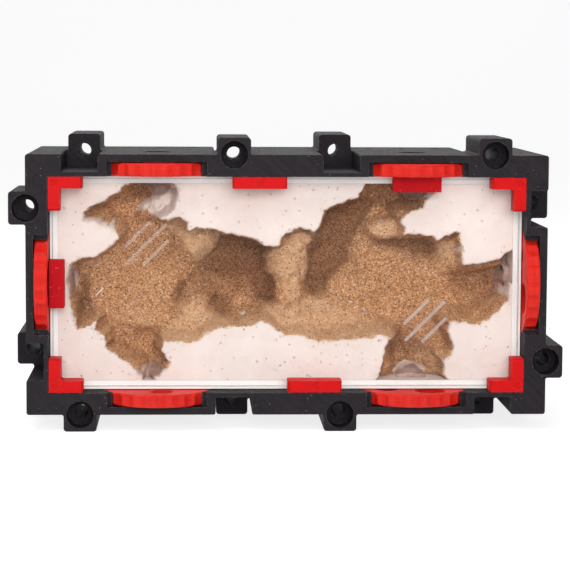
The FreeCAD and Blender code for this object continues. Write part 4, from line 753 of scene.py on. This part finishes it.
def carve(x, z):
    """What the carving is like at each point: its depth behind the pane, where it is bare, where it is damp and painted
    with shade, and where it is pale and painted with light.
    """
    wx = x + 0.8 * rough_noise(6.0, 21, x, z) + 0.35 * lattice(1.7, 31, x, z)
    wz = z + 0.8 * rough_noise(6.0, 22, x, z) + 0.35 * lattice(1.7, 32, x, z)
    s, up = to_mouth(x + 0.50 * lattice(2.3, 41, x, z) + 0.34 * lattice(0.95, 42, x, z), z + 0.50 * lattice(2.3, 43, x, z) + 0.34 * lattice(0.95, 44, x, z))
    folds = np.exp(-((rough_noise(8.0, 53, x, z, 2) / 0.10) ** 2)) * smooth(lattice(14.0, 54, x, z), -0.1, 0.5)
    floor = 17.6 + 1.3 * rough_noise(13.0, 51, x, z) + 1.15 * rough_noise(5.0, 52, x, z) + 1.1 * folds
    rise = 0.0
    for cx, cz, rx, rz, turn, height, power in FORMS:
        rise = rise + height * spot(wx, wz, cx, cz, rx, rz, turn, power)
    px, pz = wx + 0.45 * lattice(0.9, 33, x, z), wz + 0.45 * lattice(0.9, 34, x, z)
    masks = [(kind, share, deeper, patch(px, pz, outline, 0.75 * soft)) for kind, share, soft, deeper, outline in PATCHES]
    for kind, share, deeper, mask in masks:
        rise = rise - deeper * mask
    floor = floor - 11.5 * np.tanh(rise / 11.5)
    floor = np.minimum(floor, 22.0)
    trough, clear = np.zeros_like(x), np.zeros_like(x)
    for side, middle, end, share in TUNNELS:
        if side in ("top", "bottom"):
            off, past = x - middle, (end - z if side == "top" else z - end)
        else:
            off, past = z - middle, (x - end if side == "left" else end - x)
        d = np.sqrt(off**2 + np.maximum(past, 0) ** 2)
        cut = TUNNEL_DEPTH + np.sqrt(np.maximum(TUNNEL_RADIUS**2 - d**2, 0))
        trough = np.maximum(trough, np.where(d < TUNNEL_RADIUS, cut, 0))
        clear = np.maximum(clear, np.where(d < TUNNEL_RADIUS, share, 0))
    floor = np.maximum(floor, trough)
    facing_up = smooth(up, -0.45, 0.75)
    steep = np.exp(np.log(9.0) * (1 - facing_up) + np.log(2.8) * facing_up) * np.exp(0.45 * rough_noise(9.0, 61, x, z))
    rim = 0.14
    wall = steep * (np.sqrt(s * s + rim * rim) + s) / 2
    wall = np.where(s < -1.5, 0.0, wall - steep * (math.sqrt(1.5**2 + rim * rim) - 1.5) / 2)
    wall = np.maximum(wall, 0)
    k = 2.4
    mixed = np.clip(0.5 + 0.5 * (floor - wall) / k, 0, 1)
    depth = floor * (1 - mixed) + wall * mixed - k * mixed * (1 - mixed)
    depth = np.clip(depth, 0, 22.5)
    rough = 0.42 * rough_noise(2.4, 71, x, z) + 0.20 * rough_noise(1.0, 72, x, z, 2)
    within = smooth(s, 0.2, 1.6)
    in_trough = smooth(trough - depth, -0.6, 0.0)
    depth = np.maximum(depth + rough * within * (1 - 0.8 * in_trough), 0)
    bare = np.zeros_like(x)
    for cx, cz, rx, rz, turn, share in BARE:
        bare = np.maximum(bare, share * spot(wx, wz, cx, cz, rx, rz, turn, 1.8))
    pale = np.zeros_like(x)
    for cx, cz, rx, rz, turn, share in PALE_AND_LIT:
        pale = np.maximum(pale, share * spot(wx, wz, cx, cz, rx, rz, turn, 1.4))
    # damp_and_shade: painted shade in the hollows and under the overhangs, and damp sand
    damp_and_shade = np.zeros_like(x)
    for cx, cz, rx, rz, turn, share in DAMP_AND_SHADE:
        damp_and_shade = 1 - (1 - damp_and_shade) * (1 - 0.45 * share * spot(wx, wz, cx, cz, rx, rz, turn, 1.6))
    for kind, share, deeper, mask in masks:
        if kind == "damp_and_shade":
            damp_and_shade = 1 - (1 - damp_and_shade) * (1 - share * mask)
        else:
            pale = 1 - (1 - pale) * (1 - share * mask)
    in_trough = in_trough * (trough > 0)
    # a skin of plaster is left in front of the low tunnels and the right one where they leave the nest
    skin = ((z < -36.9) | (x > 86.1)) & (trough > 0)
    depth = np.where(skin, np.minimum(depth, TUNNEL_DEPTH - TUNNEL_RADIUS - 0.6 + 0.25 * lattice(1.3, 75, x, z)), depth)
    in_trough = np.where(skin, 1.0, in_trough)
    clear = np.where(skin, 1.0, clear)
    return {"depth": depth, "s": s, "up": up, "bare": bare, "pale": pale, "damp_and_shade": damp_and_shade, "trough": in_trough, "clear": in_trough * clear}


def height_solid(name, xs, zs, front, back, keep=None):
    """A closed solid between two height fields over a grid. front and back are y in millimetres. keep says which cells are in it."""
    nx, nz = len(xs), len(zs)
    if keep is None:
        keep = np.ones((nx - 1, nz - 1), bool)
    index = np.full((nx, nz), -1)
    used = np.zeros((nx, nz), bool)
    used[:-1, :-1] |= keep
    used[1:, :-1] |= keep
    used[:-1, 1:] |= keep
    used[1:, 1:] |= keep
    index[used] = np.arange(used.sum())
    count = int(used.sum())
    x, z = np.meshgrid(xs, zs, indexing="ij")
    co = np.empty((2 * count, 3), np.float32)
    co[:count, 0], co[:count, 1], co[:count, 2] = x[used], front[used], z[used]
    co[count:, 0], co[count:, 1], co[count:, 2] = x[used], back[used], z[used]
    i, j = np.nonzero(keep)
    a, b, c, d = index[i, j], index[i + 1, j], index[i + 1, j + 1], index[i, j + 1]
    faces = [np.stack((a, b, c, d), 1), np.stack((d, c, b, a), 1) + count]
    pad = np.zeros((nx + 1, nz + 1), bool)
    pad[1:-1, 1:-1] = keep
    for di, dj in ((-1, 0), (1, 0), (0, -1), (0, 1)):
        out = ~pad[i + 1 + di, j + 1 + dj]
        p, q = {(-1, 0): (d, a), (1, 0): (b, c), (0, -1): (a, b), (0, 1): (c, d)}[(di, dj)]
        p, q = p[out], q[out]
        faces.append(np.stack((q, p, p + count, q + count), 1))
    faces = np.concatenate(faces).astype(np.int32)
    mesh = bpy.data.meshes.new(name)
    mesh.vertices.add(len(co))
    mesh.vertices.foreach_set("co", (co * MM).ravel())
    mesh.loops.add(faces.size)
    mesh.loops.foreach_set("vertex_index", faces.ravel())
    mesh.polygons.add(len(faces))
    mesh.polygons.foreach_set("loop_start", np.arange(0, faces.size, 4, dtype=np.int32))
    mesh.polygons.foreach_set("use_smooth", np.ones(len(faces), bool))
    mesh.update(calc_edges=True)
    mesh.validate()
    return mesh, used


def add_field(mesh, name, used, values):
    """A number for each point of a height solid, the same in front and behind."""
    layer = mesh.attributes.new(name, "FLOAT", "POINT")
    flat = np.asarray(values, np.float32)[used]
    layer.data.foreach_set("value", np.concatenate((flat, flat)))


def link_piece(name, mesh, material, body, *nodes, slot=None):
    obj = bpy.data.objects.new(name, mesh)
    bpy.context.scene.collection.objects.link(obj)
    mesh.materials.clear()
    mesh.materials.append(material)
    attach(obj, body)
    if nodes:
        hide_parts(*nodes)
    return obj


def cylinder_into(bm, axis, a, b, low, high, radius, sides=40):
    """A closed cylinder along an axis, in millimetres. a and b are its middle in the other two axes, in order."""
    k = "xyz".index(axis)
    others = [i for i in range(3) if i != k]
    rings = []
    for at in (low, high):
        ring = []
        for n in range(sides):
            t = 2 * math.pi * n / sides
            p = [0.0, 0.0, 0.0]
            p[k] = at
            p[others[0]] = a + radius * math.cos(t)
            p[others[1]] = b + radius * math.sin(t)
            ring.append(bm.verts.new([v * MM for v in p]))
        rings.append(ring)
    for n in range(sides):
        bm.faces.new((rings[0][n], rings[0][(n + 1) % sides], rings[1][(n + 1) % sides], rings[1][n]))
    bm.faces.new(rings[0][::-1])
    bm.faces.new(rings[1])


def fix_corners(keep):
    """Fills or clears cells that touch only at a corner, so that the solid's edges stay clean."""
    for _ in range(6):
        a, b, c, d = keep[:-1, :-1], keep[1:, :-1], keep[:-1, 1:], keep[1:, 1:]
        one, two = a & d & ~b & ~c, b & c & ~a & ~d
        if not (one.any() or two.any()):
            break
        keep = keep.copy()
        keep[1:, :-1] |= one
        keep[:-1, :-1] |= two
    return keep


def drop_crumbs(keep, least):
    """Clears islands of fewer cells than least."""
    label = np.where(keep, np.arange(keep.size).reshape(keep.shape) + 1, 0)
    while True:
        grown = label.copy()
        grown[1:, :] = np.maximum(grown[1:, :], label[:-1, :])
        grown[:-1, :] = np.maximum(grown[:-1, :], label[1:, :])
        grown[:, 1:] = np.maximum(grown[:, 1:], label[:, :-1])
        grown[:, :-1] = np.maximum(grown[:, :-1], label[:, 1:])
        grown = np.where(keep, grown, 0)
        if (grown == label).all():
            break
        label = grown
    names, counts = np.unique(label[keep], return_counts=True)
    return keep & np.isin(label, names[counts >= least])


def build_nest():
    low, high = (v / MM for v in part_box("plaster_nest"))
    middle = (low.z + high.z) / 2
    wick_low, wick_high = (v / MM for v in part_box("wicks"))
    # plaster
    xs, zs = np.linspace(low.x, high.x, 394), np.linspace(low.z, high.z, 172)
    x, z = np.meshgrid(xs, zs, indexing="ij")
    f = carve(x, z - middle)
    skin = 0.05 * rough_noise(3.0, 81, x, z) - 0.05
    front = low.y + np.maximum(f["depth"], np.maximum(-skin, 0) * (f["s"] < -0.5))
    mesh, used = height_solid("plaster_carved", xs, zs, front, np.full_like(front, high.y))
    inside = smooth(f["s"], 0.0, 1.2)
    add_field(mesh, "dust", used, inside * (0.75 - 0.5 * f["bare"]) + 0.46 * np.exp(-np.maximum(-f["s"], 0) / 1.4) * (f["s"] <= 0))
    zz = z - middle
    # painted shadow below the top edge clip (the first term), and brownish stains in three other places
    stain_and_shadow = 0.9 * np.exp(-(((x + 9) / 14) ** 2) - ((zz - 36.5) / 4.5) ** 2) + 0.5 * np.exp(-(((x - 80) / 10) ** 2) - ((zz - 30) / 9) ** 2) \
        + 0.35 * np.exp(-(((x + 82) / 5) ** 2) - ((zz - 17) / 8) ** 2) + 0.35 * np.exp(-(((x - 13) / 6) ** 2) - ((zz + 29) / 4) ** 2)
    add_field(mesh, "stain_and_shadow", used, stain_and_shadow * (f["s"] < 0.5))
    in_hole = np.maximum(f["trough"], 0.9 * f["bare"] * smooth(f["depth"], 1.5, 5.0))
    white = 0.0
    for cx, cz, rx, rz, turn, share in (BARE[0], BARE[1], BARE[2], BARE[3], BARE[4], BARE[11], BARE[13], BARE[14], BARE[15], BARE[16], BARE[17]):
        white = np.maximum(white, spot(x, zz, cx, cz, rx * 1.2, rz * 1.3, turn, 1.5))
    add_field(mesh, "smooth", used, in_hole * inside * (1 - 0.9 * white))
    plaster = link_piece("plaster_carved", mesh, plaster_material("carved_plaster"), "nest", "plaster_nest", slot="plaster")
    # the tunnels and the wick holes go through it
    bm = bmesh.new()
    deep = low.y + TUNNEL_DEPTH
    drilled = [(side, at, {"bottom": -36.7, "right": 85.9}.get(side, end)) for side, at, end, _ in TUNNELS]
    for side, at, end in drilled:
        if side == "top":
            cylinder_into(bm, "z", at, deep, middle + end, high.z + 1, TUNNEL_RADIUS)
        elif side == "bottom":
            cylinder_into(bm, "z", at, deep, low.z - 1, middle + end, TUNNEL_RADIUS)
        elif side == "left":
            cylinder_into(bm, "x", deep, middle + at, low.x - 1, end, TUNNEL_RADIUS)
        else:
            cylinder_into(bm, "x", deep, middle + at, end, high.x + 1, TUNNEL_RADIUS)
    mid_wick = (wick_low.z + wick_high.z) / 2
    for at in (-60.0, -20.0, 20.0, 60.0):
        if wick_low.x - 1 < at < wick_high.x + 1:
            cylinder_into(bm, "y", at, mid_wick, high.y - 3.2, high.y + 1, 3.5, 28)
    bmesh.ops.recalc_face_normals(bm, faces=bm.faces)
    tool_mesh = bpy.data.meshes.new("tool")
    bm.to_mesh(tool_mesh)
    bm.free()
    tool = bpy.data.objects.new("tool", tool_mesh)
    bpy.context.scene.collection.objects.link(tool)
    cut = plaster.modifiers.new("holes", "BOOLEAN")
    cut.object, cut.operation, cut.solver = tool, "DIFFERENCE", "EXACT"
    bpy.context.view_layer.update()
    done = bpy.data.meshes.new_from_object(plaster.evaluated_get(bpy.context.evaluated_depsgraph_get()), preserve_all_data_layers=True,
                                           depsgraph=bpy.context.evaluated_depsgraph_get())
    plaster.modifiers.clear()
    plaster.data = done
    done.name = "plaster_carved"
    bpy.data.objects.remove(tool)
    # the walls of the tunnels are smooth and damp too, and get the same darker colour: painted shade inside the tunnels
    points = np.empty(len(done.vertices) * 3, np.float32)
    done.vertices.foreach_get("co", points)
    px, py, pz = points.reshape(-1, 3).T / MM
    damp_and_shaded_wall = np.empty(len(done.vertices), np.float32)
    done.attributes["smooth"].data.foreach_get("value", damp_and_shaded_wall)
    for side, at, end in drilled:
        if side in ("top", "bottom"):
            off, past = px - at, (pz - middle - end if side == "top" else end - (pz - middle))
        else:
            off, past = pz - middle - at, (end - px if side == "left" else px - end)
        there = (np.hypot(off, py - deep) < TUNNEL_RADIUS + 0.08) & (past > -0.1)
        damp_and_shaded_wall[there] = 0.9
    done.attributes["smooth"].data.foreach_set("value", damp_and_shaded_wall)
    # sand
    xs, zs = np.linspace(low.x + 0.2, high.x - 0.2, 445), np.linspace(low.z + 0.2, high.z - 0.2, 193)
    x, z = np.meshgrid(xs, zs, indexing="ij")
    f = carve(x, z - middle)
    edge = np.minimum(1.0, (f["s"] - 0.08) * 2.0)
    thick = edge + 0.42 * rough_noise(1.5, 91, x, z, 2) + 0.22 * lattice(0.62, 92, x, z) - 2.4 * f["bare"] - 2.0 * f["clear"]
    thick = np.minimum(thick, 1.6)
    grainy = 0.16 * lattice(0.45, 93, x, z) + 0.12 * lattice(0.8, 94, x, z)
    top = low.y + f["depth"] - thick - grainy * smooth(thick, -0.2, 0.5)
    bottom = low.y + f["depth"] + 0.45
    there = thick > -0.3
    keep = there[:-1, :-1] & there[1:, :-1] & there[:-1, 1:] & there[1:, 1:]
    keep = drop_crumbs(fix_corners(keep), 14)
    top = np.clip(top, low.y + 0.1, high.y - 1.2)
    mesh, used = height_solid("sand_layer", xs, zs, np.minimum(top, bottom - 0.05), bottom, keep)
    add_field(mesh, "damp_and_shade", used, f["damp_and_shade"])
    # paler beside walls that face up: painted light on the side lit from above
    add_field(mesh, "pale", used, np.clip(f["pale"] + 0.5 * np.exp(-np.maximum(f["s"], 0) / 1.6) * smooth(f["up"], -0.2, 0.6), 0, 1))
    add_field(mesh, "thin", used, np.clip(0.75 - 0.9 * thick, 0, 1))
    link_piece("sand_layer", mesh, sand_material("loose_sand"), "nest", "sand_floor", slot="sand")


# ---------------------------------------------------------------- the carried-over pieces


def paint(node, material):
    obj = NODES[node]
    if not obj.material_slots:
        obj.data.materials.append(material)
    for s in obj.material_slots:
        s.material = material


def soften(node, width, angle=35.0, segments=2):
    """Rounds the sharp edges of a piece a little, so that they catch the light."""
    b = NODES[node].modifiers.new("soft_edges", "BEVEL")
    b.width, b.segments, b.limit_method, b.angle_limit = width, segments, "ANGLE", math.radians(angle)
    b.use_clamp_overlap = True
    b.harden_normals = True


add_camera()
add_world()
add_stage()
add_light("key", (-0.27, -0.62, 0.85), (0.0, 0.0, 0.05), 0.80, 3.7, (1.0, 0.985, 0.965), size_y=0.5)
add_light("front", (0.06, -1.25, 0.40), (0.0, 0.0, 0.05), 0.9, 10.3, (1.0, 0.985, 0.960), size_y=0.5)
add_light("top", (0.0, 0.02, 1.0), (0.0, 0.0, 0.10), 0.6, 1.7, (0.98, 0.97, 1.0))
add_light("left", (-0.9, -0.25, 0.45), (0.0, 0.0, 0.05), 0.6, 1.4)
add_light("right", (0.9, -0.35, 0.40), (0.0, 0.0, 0.05), 0.6, 0.6)
add_light("behind", (0.0, 0.9, 0.7), (0.0, 0.0, 0.05), 0.8, 1.6)

BLACK = dict(base=(0.0030, 0.0020, 0.0034), pale=(0.025, 0.0195, 0.0255), rough=(0.42, 0.66), depth=0.00008, edge=(0.15, 0.135, 0.145),
             fleck=(0.17, 0.16, 0.165), fleck_share=0.014, specular=0.20, streak=0.6, weave=0.30, speckle=1.5)
black, _ = printed("black_print", stack="Y", **BLACK)
black_cover, _ = printed("black_cover", stack="Y", **{**BLACK, "road": 0.5, "weave": 0.35})
black_pin, _ = printed("black_pin", stack="Z", **{**BLACK, "layer": 0.15})
RED = dict(base=(0.50, 0.004, 0.004), pale=(0.88, 0.024, 0.011), rough=(0.38, 0.52), depth=0.00005, edge=(1.0, 0.10, 0.06), edge_share=0.4,
           streak=0.30, weave=0.3, specular=0.28)
red_z, _ = printed("red_print_upright", stack="Z", along=0.45, **RED)
red_x, _ = printed("red_print_across", stack="X", along=0.45, **RED)
red_clip, _ = printed("red_clip", stack="Y", **{**RED, "base": (0.46, 0.002, 0.003), "pale": (0.72, 0.006, 0.008), "specular": 0.11, "weave": 0.12})
red_block, _ = printed("red_block", stack="Y", base=(0.38, 0.002, 0.006), pale=(0.72, 0.005, 0.012), rough=(0.5, 0.7), depth=0.00014, edge=(0.72, 0.02, 0.02),
                       fleck=(0.90, 0.20, 0.20), fleck_share=0.07, grain=1.8, streak=0.4, weave=0.1, specular=0.22, speckle=1.0)
white, _ = printed("tray_white", stack="Y", base=(0.90, 0.895, 0.89), pale=(0.95, 0.945, 0.94), rough=(0.45, 0.6), depth=0.00003, streak=0.25, weave=0.2,
                   specular=0.4)

for node in ("front_frame", "rear_frame"):
    paint(node, black)
paint("rear_cover", black_cover)
paint("gate_axles", black_pin)
for node in ("gate_top_left", "gate_top_right", "gate_bottom_left", "gate_bottom_right"):
    paint(node, red_z)
for node in ("gate_left", "gate_right"):
    paint(node, red_x)
for node in ("clip_corner_top_left", "clip_corner_top_right", "clip_corner_bottom_left", "clip_corner_bottom_right", "clip_edge_top", "clip_edge_bottom"):
    paint(node, red_clip)
for node in ("block_left", "block_top"):
    paint(node, red_block)
paint("nest_tray", white)
paint("pane", pane_material("clear_sheet"))
for node in ("water_tank", "tank_lid"):
    paint(node, tank_material(node + "_plastic"))
paint("wicks", cotton_material("cotton"))
paint("fill_stopper", rubber_material("stopper_rubber"))
for node in ("frame_screws", "cover_screws"):
    paint(node, steel_material(node + "_steel"))

build_nest()

scene = bpy.context.scene
scene.view_settings.view_transform = "Standard"
scene.view_settings.look = "None"
scene.view_settings.exposure = 0.0
scene.view_settings.gamma = 1.0
